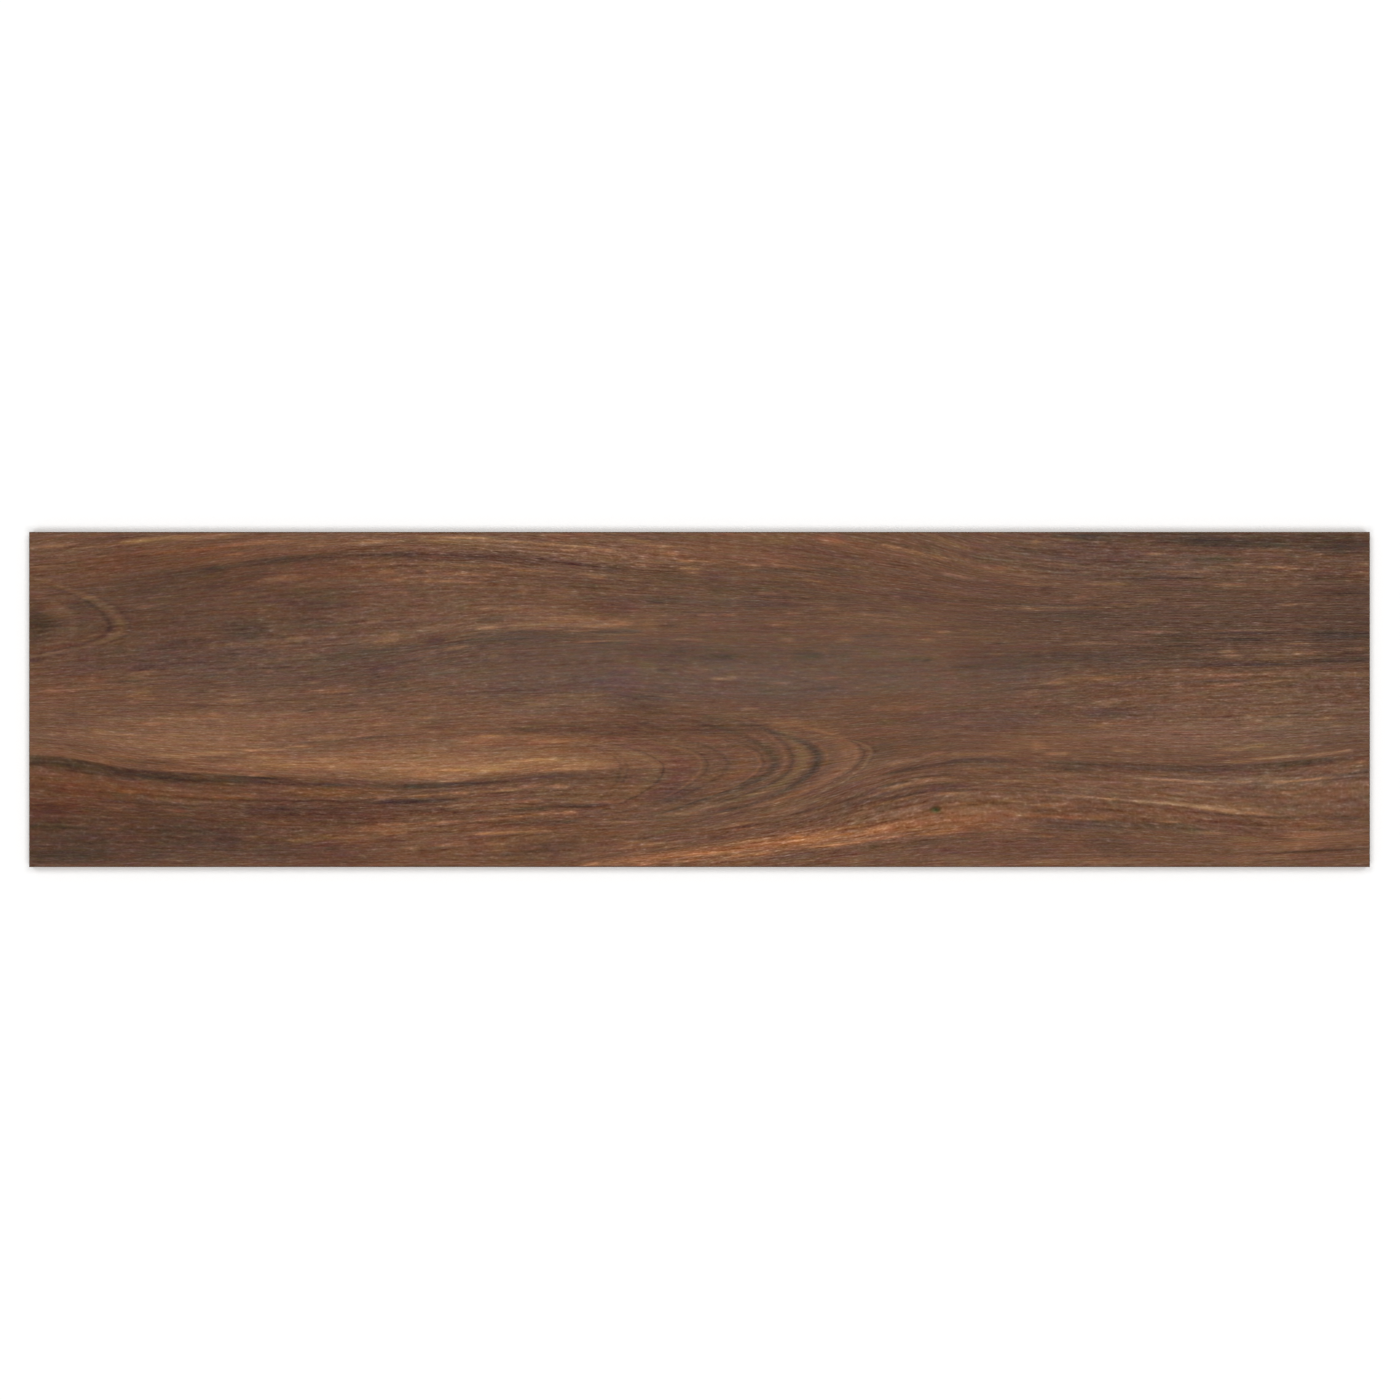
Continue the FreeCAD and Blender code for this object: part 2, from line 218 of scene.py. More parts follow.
# Narrow streaks, the same above as below: x, y, half length, half width, lighter, warmer, greener. They are
# written too narrow, so streak_spread widens them all, and pale_gain makes the pale ones paler.
STREAKS = [
    (-398, 23, 7, 1.2, -10, -1, -2), (-392, -34.9, 18, 1, -9, 0, 1), (-390, 79.2, 10, 0.8, 8, 0, 0),
    (-387, 91.3, 17, 0.8, 12, 0, 1), (-386, 5.5, 6, 1.4, 8, 1, 0), (-385, 80.7, 13, 0.6, -8, 0, 0),
    (-385, -20.3, 5, 0.8, 6, -1, 2), (-385, -39.6, 11, 0.8, 6, 0, 1), (-384, 53, 9, 2.5, 7, 0, 1),
    (-375, -8.8, 5, 0.7, -11, 1, -1), (-372, -20.6, 5, 0.8, 6, -1, 2), (-372, -43.3, 14, 0.6, -7, 0, 1),
    (-370, -30.8, 8, 1.2, -6, 1, 1), (-368, 57.5, 11, 2.5, -6, -1, 1), (-368, 6.4, 14, 0.7, 9, 0, 1),
    (-365, -37.9, 18, 0.8, -9, 0, 1), (-362, 91.3, 15, 0.6, 7, 0, 1), (-362, 61, 7, 0.7, 8, 0, 0),
    (-362, -41.7, 12, 0.9, 10, 0, 1), (-360, 5.3, 13, 0.5, -6, 0, 0), (-357, -19.5, 6, 1.3, 7, 1, 2),
    (-352, 83, 9, 1.5, 0, 2, -1), (-352, -52, 7, 1, 6, 0, 0), (-351, 42.5, 4, 1.2, -7, -1, -2),
    (-350, 79, 7, 0.7, 7, 1, 0), (-350, -65.3, 6, 0.8, 8, 0, 0), (-349, -77.3, 5, 0.7, 12, 0, -2),
    (-346, -54.5, 5, 1.5, 3, 0, 2), (-345, -33.5, 14, 0.8, 7, 0, 1), (-345, -46.8, 15, 0.7, -7, -1, 0),
    (-345, -60.8, 10, 0.7, -6, 1, -3), (-345, -93.5, 8, 0.7, 2, 2, -1), (-343, -7.3, 7, 1.5, -2, -2, -2),
    (-342, 10.6, 13, 0.6, -6, 0, 1), (-342, -21, 9, 0.6, 9, 1, 0), (-340, -12, 10, 1.5, 1, -1, 2),
    (-340, -55.2, 6, 0.9, 16, 0, 1), (-338, 94, 10, 0.9, 8, 0, 2), (-338, -2, 5, 0.7, 10, 0, 0),
    (-335, 1.8, 10, 0.7, 8, 0, 1), (-335, -40, 18, 1.4, -9, -1, -1), (-335, -42.8, 22, 0.7, -9, 0, 0),
    (-334, 18, 9, 0.7, -9, -1, 0), (-334, 14.5, 8, 1, 7, 1, 0), (-334, 4.3, 5, 0.8, 10, 0, 4),
    (-333, -37.2, 24, 0.7, -10, 0, 1), (-331, 6.3, 5, 0.7, 7, 0, 3), (-331, -64, 7, 1.3, -9, -1, 2),
    (-330, 86.2, 15, 0.6, -6, 0, 0), (-330, 55.3, 6, 0.8, 10, -1, 0), (-330, 20, 9, 1, -6, -1, -1),
    (-330, 16.5, 7, 0.6, 10, 0, 0), (-330, 0.2, 7, 0.6, 7, 0, 1), (-328, -20.3, 6, 0.5, -9, 0, 0),
    (-326, 10.7, 15, 0.6, 6, 0, 1), (-326, -14.5, 9, 0.6, 8, 1, -1), (-325, 95.8, 22, 1.3, 14, -1, 3),
    (-325, -62.3, 28, 0.7, -9, 0, 0), (-320, 61.3, 9, 0.5, 7, 0, 0), (-320, -11.8, 9, 0.7, 8, -1, -1),
    (-318, 87.8, 11, 0.8, 7, 1, 0), (-318, -38.4, 16, 1.6, -7, 0, 1), (-315, -33.6, 16, 1, 10, 1, 1),
    (-313, -95.3, 8, 1, 6, -1, 0), (-311, -66.5, 9, 0.9, 7, 2, -2), (-310, -60.8, 24, 0.6, 6, 1, 0),
    (-309, -64.8, 9, 0.8, 0, -2, 1), (-309, -68.5, 7, 0.6, 2, 0, 4), (-308, -44.2, 28, 0.5, -8, 0, 0),
    (-305, -57, 13, 0.7, -4, 2, -1), (-303, -11.6, 10, 0.7, 10, 0, 1), (-303, -24, 5, 0.8, -8, 0, 0),
    (-300, 88.9, 9, 0.6, 8, 0, 1), (-300, -41.5, 22, 0.5, -8, 1, -1), (-298, 4.5, 5, 1, -10, 0, 0),
    (-298, -4, 7, 0.7, -9, 0, 0), (-298, -32.6, 12, 0.9, 10, 0, 1), (-297, 25, 8, 2, -1, 0, -2),
    (-295, -83, 6, 1, 6, -1, -1), (-293, 97.3, 24, 1.1, 10, 0, 1), (-292, 13.8, 4, 0.8, -9, 0, 1),
    (-291, 78.5, 7, 1.3, -7, -1, 1), (-291, 31.5, 5, 1.5, 3, 1, 0), (-290, -34.3, 8, 0.7, -5, 2, -1),
    (-290, -53.8, 10, 0.5, -8, 1, 0), (-289, -9.5, 7, 1.5, 8, 1, 1), (-285, -31.3, 10, 0.8, 11, 1, 1),
    (-285, -36.5, 12, 1.5, -4, 0, 2), (-284, 10.3, 6, 0.7, 9, 0, 1), (-283, 91.3, 15, 0.7, 7, 0, 0),
    (-283, -58.8, 9, 0.7, 8, 2, 0), (-282, -40, 10, 1.2, 2, 2, -1), (-282, -85, 9, 4, -4, -1, -1),
    (-281, 86.2, 4, 0.5, 11, 1, 0), (-280, 27, 9, 1.5, -4, -1, 1), (-278, 3, 11, 0.8, 7, 1, 0),
    (-277, -0.8, 11, 0.8, 10, 1, 1), (-275, 87, 4, 0.6, 13, 1, 0), (-275, 63.3, 6, 0.7, 8, 1, -1),
    (-270, -46.3, 18, 0.5, -12, 0, 0), (-270, -56.8, 8, 0.7, 6, 3, -1), (-270, -59.3, 5, 0.6, 2, 0, 4),
    (-268, -30.4, 6, 0.8, 15, 0, 1), (-268, -82.3, 7, 0.7, 7, 1, 0), (-267, -43.9, 6, 1, 4, 3, -2),
    (-265, 33.4, 28, 0.8, 7, 0, 0), (-265, -39.6, 9, 1, -5, 0, 2), (-263, -45, 5, 0.8, 9, 1, 0),
    (-262, 93.6, 22, 0.8, 10, 0, 1), (-258, -34, 10, 1, 8, 0, 0), (-257, 16.6, 4, 0.7, 9, 0, 0),
    (-256, -30, 10, 0.7, 11, 0, 1), (-255, -47, 14, 0.5, -15, 1, 1), (-253, -80, 12, 3, 3, 1, 0),
    (-252, -64.5, 8, 1.2, -6, -3, 1), (-251, 19, 11, 0.6, -8, 0, -1), (-249, -73, 10, 2.5, -1, 2, -1),
    (-248, 72.6, 15, 1.5, 10, 0, 0), (-241, 36.5, 7, 1.2, 9, 0, 1), (-241, -84, 8, 1.5, 4, 1, 3),
    (-238, -28, 9, 0.6, 10, 0, 1), (-237, -84, 8, 0.8, 8, 0, 2), (-234, 12.8, 7, 0.7, -10, 0, 0),
    (-233, -6.5, 6, 0.8, -10, 0, 0), (-230, 35, 8, 1, -1, 2, -1), (-230, 10, 5, 0.6, 9, 0, 1),
    (-228, 91.7, 9, 0.7, 10, 0, 0), (-227, 5.2, 5, 0.7, 10, -1, 0), (-225, -82.3, 13, 1.6, 4, 1, 3),
    (-223, -25.2, 22, 0.7, -8, 0, 1), (-222, 37.8, 6, 0.6, 7, 0, 1), (-222, -8.5, 4, 1, 8, 0, 0),
    (-222, -22.5, 12, 1.2, 6, 0, 2), (-222, -35.5, 8, 0.6, 8, 0, 1), (-222, -85.5, 11, 1.2, -3, 0, -4),
    (-218, -88.5, 9, 1, -7, -1, 1), (-216, 4.5, 9, 1, 7, 1, 0), (-216, 3.3, 9, 0.5, -7, 1, 0),
    (-215, -13, 9, 2.5, 0, -1, 2), (-215, -57.2, 18, 0.5, 3, 0, 2), (-213, -92, 11, 2, -2, 0, -2),
    (-210, -53.5, 9, 0.8, 0, 2, -1), (-208, 93, 13, 0.6, 9, 0, 0), (-208, -82.5, 13, 1, 6, 1, 0),
    (-207, -3.5, 6, 0.7, -10, 0, 0), (-203, 46.5, 8, 1.5, -4, -1, -2), (-201, 76.5, 8, 0.6, -6, 1, 0),
    (-200, -21.4, 6, 0.5, 12, 0, 1), (-197, 80.6, 11, 0.7, 8, 0, 0), (-197, -59.3, 4, 0.4, -13, 1, 0),
    (-197, -71.5, 7, 1.5, -2, 2, -1), (-196, 46.3, 7, 0.8, 11, -1, -1), (-196, -22.8, 10, 0.7, -15, 0, 0),
    (-195, 94, 7, 0.9, 14, 0, 0), (-195, -41, 14, 1, -6, 0, 0), (-194, 91, 5, 1, -8, 0, 0),
    (-192, 17, 10, 3, -4, 0, -2), (-192, 13.8, 4, 0.7, -11, 0, 0), (-192, -69, 14, 3, -1, 1, -1),
    (-190, -14.6, 7, 0.7, 9, 0, 1), (-190, -58.4, 10, 0.6, 10, 1, -1), (-187, 34.8, 9, 0.7, 9, 1, 1),
    (-187, -29.5, 6, 0.8, -9, 0, 0), (-186, 76.3, 6, 0.8, 11, 0, 1), (-185, 94.7, 9, 0.6, 9, 0, 1),
    (-185, 63.4, 5, 0.7, 8, 0, 0), (-185, 62.5, 25, 2, -1, 0, -1), (-185, -6, 5, 1.5, -8, 0, 0),
    (-185, -47, 9, 1, 1, 1, 1), (-184, 47.2, 8, 0.5, -10, -1, -1), (-183, 38.3, 7, 1.2, 7, 0, 1),
    (-183, -74.4, 14, 0.6, 10, 1, 1), (-183, -79.8, 10, 0.6, 10, 0, 1), (-183, -85, 10, 1.8, -7, -1, -1),
    (-180, 86.5, 15, 1.2, -6, -1, 1), (-180, 71.3, 5, 0.8, 10, 0, 0), (-180, -42, 9, 0.6, 10, 0, 2),
    (-178, 12.5, 9, 0.8, -7, 0, 1), (-177, -21.2, 16, 0.5, -10, 0, 0), (-176, 79, 9, 1.2, -6, 1, 0),
    (-176, 63.6, 5, 0.7, 9, 0, 0), (-175, 92, 7, 1.2, 2, 2, 0), (-175, 81.3, 15, 0.6, 7, 0, 0),
    (-175, -31, 5, 2.5, -2, -1, 1), (-174, 94, 6, 0.9, -10, 0, 0), (-172, 24, 12, 2, -2, 0, -2),
    (-172, -52.5, 10, 1.3, -6, -2, 2), (-172, -88.5, 6, 0.7, 10, 0, 1), (-168, -57.8, 10, 0.7, 8, 2, 0),
    (-167, 76, 4, 1, -12, 0, 1), (-166, 26, 7, 0.6, 7, 0, 0), (-165, -45, 9, 1.3, 6, 1, 0),
    (-163, 76.2, 3, 0.8, 13, 0, 1), (-163, -11, 7, 0.7, 9, 0, -1), (-162, 24.3, 4, 0.6, 9, -1, 1),
    (-162, -41.5, 7, 0.8, 8, 0, 2), (-161, 70.8, 4, 0.9, 12, 0, 0), (-160, 96.9, 12, 0.8, 10, 0, 2),
    (-160, 85, 11, 0.6, 5, 1, -1), (-160, -16.5, 10, 0.5, -8, 0, 0), (-160, -56.8, 15, 0.5, 7, 1, 1),
    (-160, -73.8, 14, 0.8, 9, 2, 0), (-160, -92, 11, 2, -3, 0, -2), (-158, 6, 5, 0.8, -9, 0, 0),
    (-158, -55, 12, 0.8, -3, 2, 0), (-157, 35.5, 8, 1.6, -9, -1, -3), (-157, 31.3, 8, 1.2, -6, -2, 1),
    (-155, 94.6, 13, 0.6, 8, 0, 1), (-155, -16, 9, 2, -6, 0, -1), (-155, -64, 12, 0.6, 4, 0, 1),
    (-155, -75.8, 9, 0.5, -8, 1, 0), (-152, 80.6, 15, 0.8, 10, 0, 1), (-152, -55.8, 4, 0.7, 10, 1, 0),
    (-149, 70.6, 9, 0.6, 14, 1, 0), (-149, -86.8, 12, 0.7, 10, 0, 0), (-148, -42.1, 10, 0.8, 14, 0, 2),
    (-148, -48.6, 10, 0.5, 14, 0, 2), (-148, -72.8, 10, 0.7, 8, 2, 0), (-147, 72, 7, 0.6, -4, 1, 0),
    (-147, 4, 6, 1, -4, -1, -2), (-145, 75, 6, 0.6, 9, 1, 1), (-145, 33.6, 7, 0.9, -12, -1, -1),
    (-144, 31, 7, 0.9, 12, 0, 0), (-143, 96.6, 13, 0.7, 19, 0, 2), (-142, -55.7, 4.5, 0.8, 22, -1, -1),
    (-140, 45.3, 11, 0.5, -8, 0, 0), (-140, -63.2, 12, 0.8, 5, 0, 1), (-138, 74.6, 7, 0.6, 9, 0, 1),
    (-137, 79.7, 9, 0.7, 10, -1, 1), (-137, -66.6, 12, 0.6, -9, 0, 1), (-136, 77.6, 12, 0.7, -7, 0, 0),
    (-136, 69.8, 9, 0.5, 13, 0, 0), (-134, 71, 15, 0.5, -3, 2, -1), (-133, -24, 18, 2, 6, 1, 0),
    (-131, -80.2, 7, 0.6, 11, 0, 1), (-130, 96.4, 9, 0.6, 12, 0, 2), (-130, -55, 7, 0.5, 9, 0, 1),
    (-130, -70.5, 6, 1, 3, 2, -2), (-128, 44, 12, 0.8, 6, 1, 0), (-128, 23.7, 4, 0.8, -10, 0, 0),
    (-128, -65.2, 10, 0.6, 7, 1, 1), (-128, -92, 7, 1.5, -7, -2, 0), (-127, 74.4, 6, 0.6, 10, 0, 1),
    (-127, 54.3, 5, 1, 9, -1, 1), (-126, 42.6, 8, 0.8, 18, 0, 1), (-125, 47.5, 9, 1.5, -8, -1, 1),
    (-125, -21.7, 8, 0.6, 14, 1, 1), (-125, -42, 14, 0.8, 9, 1, 2), (-125, -71.3, 12, 0.6, 6, 1, 0),
    (-124, 70.2, 6, 0.5, -13, 0, 0), (-124, 25.8, 4, 1, 8, 0, 0), (-122, -86, 8, 0.6, 9, 0, 1),
    (-122, -89, 11, 1.5, -1, 1, 1), (-122, -96.2, 9, 1, 0, -1, 2), (-121, 79.9, 9, 0.8, 10, 0, 1),
    (-121, 8.5, 9, 1, 0, 0, -2), (-121, -54.8, 6, 0.6, 10, 1, 1), (-120, 94.6, 13, 0.7, 12, 0, 1),
    (-120, -45.5, 16, 1.3, -5, 1, 1), (-120, -55.6, 8, 0.4, -13, 1, 0), (-120, -57.3, 9, 0.8, -5, -1, -2),
    (-120, -79.6, 14, 0.9, 20, 2, 1), (-118, -74, 9, 0.8, -7, -1, 0), (-118, -80.9, 9, 0.4, -9, 1, 0),
    (-115, 54, 9, 0.7, 8, 0, 0), (-113, 61.5, 14, 0.6, -7, 0, 1), (-113, -53.8, 8, 0.7, 16, 0, 1),
    (-113, -61.2, 12, 0.6, 8, 1, 0), (-113, -92.3, 8, 1, -10, -2, 0), (-112, -2.2, 5, 0.5, -9, 0, 0),
    (-112, -70.3, 9, 0.5, 9, 1, 1), (-108, -63.8, 9, 0.5, 9, 0, 1), (-107, 94, 8, 0.6, 12, 0, 1),
    (-105, 77, 9, 0.7, 14, 0, 1), (-105, 65, 4, 2.2, 8, 0, 2), (-105, -18.5, 9, 2, -9, 0, 1),
    (-103, 44.3, 13, 0.9, 8, 0, 2), (-103, -60.8, 7, 0.8, 7, 2, -2), (-102, -65.3, 12, 0.9, -10, -1, 1),
    (-101, -51.7, 6, 1, 14, 0, -1), (-100, -36.3, 16, 0.8, 11, 0, 2), (-100, -69, 16, 0.5, 9, 0, 1),
    (-100, -77.3, 16, 1.2, 4, 2, 0), (-98, -26.5, 8, 1.2, 2, 3, -2), (-98, -78.7, 12, 0.7, 11, 1, 1),
    (-97, 40.7, 22, 0.6, -9, 0, 0), (-97, -2.7, 9, 0.6, 7, 0, 3), (-97, -16, 8, 3, -3, -1, 2),
    (-97, -60.3, 5, 0.6, 12, 1, 0), (-97, -90.6, 11, 0.8, -9, -1, 0), (-95, -73, 28, 1.6, -7, -1, 1),
    (-94, -55, 5, 2, 3, -1, 2), (-93, 42, 10, 0.8, 6, 1, -1), (-92, 76.4, 9, 0.6, 9, 0, 0),
    (-92, -67.8, 10, 0.8, 9, 1, 0), (-90, 92.8, 10, 0.7, 15, 0, 2), (-88, -24.7, 14, 1, 6, 2, 1),
    (-88, -36.6, 9, 0.6, 10, 0, 1), (-86, 98, 10, 0.8, 9, 1, -1), (-85, 62.5, 9, 1.5, 4, 1, 0),
    (-85, 12, 9, 0.8, 5, 0, 1), (-85, -41.8, 12, 0.7, 10, 1, 1), (-84, -51.9, 6, 1, 18, 1, 0),
    (-79, -67.7, 4, 1.2, 10, 1, 0), (-78, -73.3, 8, 0.8, -7, -1, 2), (-77, 89, 5, 0.6, 14, 1, 1),
    (-77, -67.2, 6, 1, 11, 1, 1), (-76, 91.4, 5, 0.7, 14, 1, 1), (-76, 37.5, 7, 1.5, 0, -1, 2),
    (-76, -63.6, 20, 0.9, -19, -2, 0), (-75, 95.5, 10, 1.3, 3, 0, 2), (-74, 81, 11, 1.3, -9, -1, -1),
    (-73, 41, 11, 0.5, 8, 0, 0), (-70, 68, 8, 1.5, -3, -1, 2), (-70, 49, 15, 1.5, 6, 1, 1),
    (-68, 98.3, 6, 0.7, 10, 1, -1), (-68, 74.5, 5, 0.6, 9, 0, 0), (-67, 34.3, 6, 0.5, 11, 0, -1),
    (-66, 91, 7, 0.6, 13, 1, 1), (-65, -53, 4, 1, 6, 1, 0), (-65, -61, 22, 0.7, 4, 1, 0),
    (-64, -98, 5, 0.7, 14, 2, 0), (-63, 67.5, 4, 1, -9, 0, 2), (-63, -70.5, 9, 1.2, -5, 0, -2),
    (-62, 65.5, 12, 2, -2, -1, 1), (-62, 43.8, 11, 0.7, 10, 1, 1), (-62, -82.3, 14, 0.7, -9, 0, 0),
    (-61, 73.3, 7, 0.9, 13, 1, 1), (-60, 33.7, 14, 0.4, -8, -1, 0), (-58, -62.7, 10, 0.7, -10, -1, -2),
    (-56, -22.8, 11, 0.9, -8, 0, -2), (-55, 89.2, 4.5, 0.7, 14, 1, 1), (-55, 35.2, 22, 0.6, 9, -1, 0),
    (-55, 22.7, 6, 0.7, -9, 0, 0), (-50, 38.6, 18, 0.6, 7, -1, 2), (-50, -17.8, 9, 1, 1, 2, 0),
    (-50, -20.6, 13, 0.7, -10, -1, 1), (-48, 45.2, 8, 1.6, 10, 2, 1), (-47, 4, 10, 3, -1, 0, -3),
    (-46, 82.8, 4, 0.5, -9, 1, -1), (-45, 97.8, 11, 0.6, -9, 0, 1), (-45, -73, 20, 0.8, 9, -1, 0),
    (-43, 95, 4, 1.5, 6, 0, 2), (-43, -88.5, 7, 0.6, 10, 0, 1), (-42, -58, 12, 0.8, -9, 0, 2),
    (-40, 71.5, 7, 0.6, 9, 1, 0), (-40, -85.5, 9, 0.7, 10, 0, 1), (-38, 33, 5, 0.6, 2, 2, -1),
    (-37, -91.3, 6, 0.6, 10, 0, 1), (-36, 45, 9, 2, 2, 1, 0), (-35, 94.3, 7, 0.7, 11, 0, 3),
    (-35, 80.3, 5, 0.6, 11, 1, 1), (-34, 26, 9, 2, 1, 0, -2), (-34, -14, 5, 0.8, -10, 1, -1),
    (-33, -98.3, 7, 0.8, 14, 2, 0), (-32, -82.8, 9, 0.5, -9, 0, 0), (-31, 20, 8, 2.5, 2, 0, 3),
    (-30, 95.6, 11, 0.6, -11, 0, 1), (-29, 46, 6, 2.5, 6, 0, 3), (-28, -86.3, 7, 0.9, 12, 0, 1),
    (-26, 81.6, 7, 0.6, 9, 1, 0), (-26, 58, 6, 0.8, -10, -1, 0), (-25, 7.5, 9, 2, -4, -2, 1),
    (-25, -8, 11, 2, -4, -1, 1), (-24, 91.7, 10, 0.7, 11, 0, 2), (-22, 17.5, 5, 0.7, -10, -1, 0),
    (-20, -89.5, 9, 0.5, -8, 0, 0), (-18, 60, 16, 1.6, -6, -1, 1), (-18, 44, 7, 0.7, -10, 0, 0),
    (-18, 1.7, 7, 0.6, 10, -1, 0), (-17, 75, 12, 2, -6, -1, 1), (-16, 86.8, 6, 0.7, 14, 1, 1),
    (-15, 26, 7, 0.7, -8, -1, 0), (-15, -87.5, 7, 0.6, 9, 0, 1), (-14, 85.6, 8, 0.4, -9, 1, 0),
    (-12, -68.2, 16, 0.8, 11, -1, 1), (-12, -84.5, 7, 0.6, 9, 0, 1), (-11, 28.6, 6, 0.8, -11, -1, 1),
    (-10, 30.9, 5, 0.5, -9, 0, 0), (-9, 34.8, 4, 0.5, -11, 0, 0), (-8, 82.7, 5.5, 0.7, 18, 0, 1),
    (-8, -96, 12, 0.7, 12, 1, 0), (-7, 35.8, 13, 0.6, 9, 0, 0), (-6, 78.2, 9, 0.7, 16, 0, 2),
    (-5, 75.7, 6, 0.6, 10, -1, 1), (-5, 66, 7, 0.6, 9, 0, 0), (-4, 84.5, 9, 0.5, -10, 1, 0),
    (-4, 8.5, 8, 1, 2, -1, -1), (-1, 17, 9, 2.5, 3, 1, -1), (0, -92.2, 12, 0.8, 12, 2, 0),
    (2, 82.4, 10, 0.5, 8, 0, 1), (3, -64.5, 10, 0.7, 10, -1, 0), (4, 50.4, 6, 0.6, 13, -1, 1),
    (8, 73, 7, 2, -7, -1, -2), (8, -11.8, 7, 0.5, -9, 0, 0), (9, 45.7, 8, 1.6, 1, 1, -3),
    (10, 64, 6, 2, -6, 0, 1), (10, -83, 7, 1, -7, -1, 0), (11.5, 12.4, 5.5, 0.8, 16, 0, 1),
    (14, -13, 9, 2, 2, 0, 2), (14, -68, 5, 0.7, 10, 0, 1), (15, -91, 12, 0.7, 8, 2, 0),
    (17, 50.5, 6, 0.6, 13, -1, 0), (17, 25.3, 7, 1.2, -7, -1, 0), (20, 13, 4, 1.5, 7, 0, 2),
    (20, -59, 14, 0.7, -10, 0, 0), (20, -65.5, 14, 0.8, -10, 0, 1), (22, 98.4, 22, 0.6, 4, 4, -2),
    (22, -8.5, 7, 1, 5, 1, 1), (22, -93.2, 6, 0.8, 15, 1, 0), (24, -74.3, 11, 0.8, 10, 0, 2),
    (28, -75.6, 6, 0.7, -14, -1, -2), (28, -77, 9, 0.6, 11, 1, 0), (28, -97, 6, 0.8, 6, -1, 2),
    (30, 80.3, 9, 0.6, 13, 0, 0), (30, -5.4, 6, 0.6, 11, 0, 1), (30, -57, 14, 0.6, 9, 0, 0),
    (30, -84, 12, 1, 8, 1, 1), (36, -92.2, 9, 0.7, 15, 1, 1), (39, 63.6, 7, 0.6, 9, 0, -1),
    (44, 82.3, 7, 0.5, 8, 0, 0), (44, -78.5, 10, 1.8, 0, 1, -2), (45, 70.2, 16, 0.4, -7, 0, 0),
    (45, 42.3, 7, 0.5, -8, 0, 0), (46, 44.5, 5, 0.5, 9, 1, 0), (48, 60.8, 22, 0.5, -9, -1, 0),
    (48, 46, 10, 2, 3, 1, -1), (48, 9.9, 8, 0.6, 9, 0, 0), (48, -61.5, 6, 0.8, 7, 1, 2),
    (49, 38.7, 8, 1.5, 0, 0, 2), (50, -67.5, 16, 1.4, 5, 1, 0), (53.5, 35.5, 5, 1, 10, -1, 0),
    (56, 79.2, 17, 0.5, 10, 0, 0), (56, 51.5, 6, 0.8, 12, -1, -1), (57, -82.2, 5, 1, 17, 2, 1),
    (62, -96.5, 8, 1, 6, 0, 2), (65, -84, 12, 1.6, 8, 2, 1), (66, 82, 8, 0.7, 3, 2, -1),
    (66, -66, 18, 0.7, -11, 0, 0), (68, 70.8, 7, 0.5, 11, 0, 1), (72, -81, 12, 1.2, 9, 2, 1),
    (73, 78, 12, 0.5, -11, -1, 1), (74, 29, 6, 0.6, 9, -1, -1), (74, 12.5, 9, 0.9, 5, 2, -1),
    (74, 6.5, 9, 1.6, -5, -2, 2), (75, -67.5, 7, 1.5, -2, 0, 2), (75, -87.2, 11, 0.7, 17, 1, 1),
    (76, 95.5, 10, 1.6, 6, 2, -1), (77, 54, 6, 0.8, 7, 1, -1), (81, 78, 7, 0.5, -9, 1, 0),
    (85, 75.5, 7, 1.5, -2, -2, 1), (85, -80.7, 8, 0.6, 13, 2, 1), (85, -86.5, 10, 0.9, 16, 2, 0),
    (86, 60, 5, 0.8, -9, 0, 0), (87, 56, 5, 0.8, -9, 0, 0), (87, 35.6, 6, 1, 9, 0, 1),
    (88, -76.5, 14, 1, 8, 2, 1), (88, -92, 10, 1.5, -3, 0, -3), (92, 84.5, 6, 0.8, -9, 0, 0),
    (92, 82, 8, 1, 3, -1, -1), (92, -95.5, 14, 2, 4, 0, 1), (93, 79, 6, 0.7, 3, 0, 4),
    (93, -58.6, 18, 0.8, -14, 0, 0), (95, 95.5, 10, 1, 3, 0, 3), (97, -67.5, 9, 1, 6, 2, 0),
    (97, -84.5, 6, 1, 14, 2, 2), (98, -60.6, 16, 1, -8, -1, 0), (100, 50.8, 10, 0.6, 7, 0, 0),
    (100, -58, 9, 0.8, 9, 0, 1), (100, -80.5, 16, 1.2, 7, 2, 0), (103, 51.7, 7, 0.5, -10, 0, 1),
    (103, 27, 7, 2.5, -1, -1, 3), (104, -88, 8, 1.3, -7, 0, 2), (105, -62.7, 9, 0.7, 8, 1, 1),
    (108, -76.5, 10, 1.3, 8, 1, 2), (110, 7.7, 9, 0.5, -9, 0, 1), (110, -13, 9, 2, -3, -1, 2),
    (112, -21, 14, 2.5, 1, 1, -1), (112, -82.5, 13, 0.7, 13, 2, 0), (113, -54.2, 10, 0.9, 10, -1, 1),
    (114, 91.4, 7, 0.7, 15, 0, 0), (115, -50.4, 15, 0.7, -13, 0, 1), (115, -54.8, 38, 0.8, -12, -1, 0),
    (117, 61.2, 4, 0.7, 10, -1, -1), (118, -5, 20, 1.5, 4, 1, 0), (118, -60.3, 12, 0.6, 9, 1, 1),
    (119, 80.3, 8, 0.5, -12, 0, 0), (122, -37, 12, 0.9, 8, 1, 0), (122, -51.3, 6, 0.7, 14, -1, 1),
    (122, -57.3, 18, 0.8, -10, -1, -1), (124, 54.8, 7, 1.5, 4, 0, 3), (125, -9.3, 16, 0.5, -7, 0, 1),
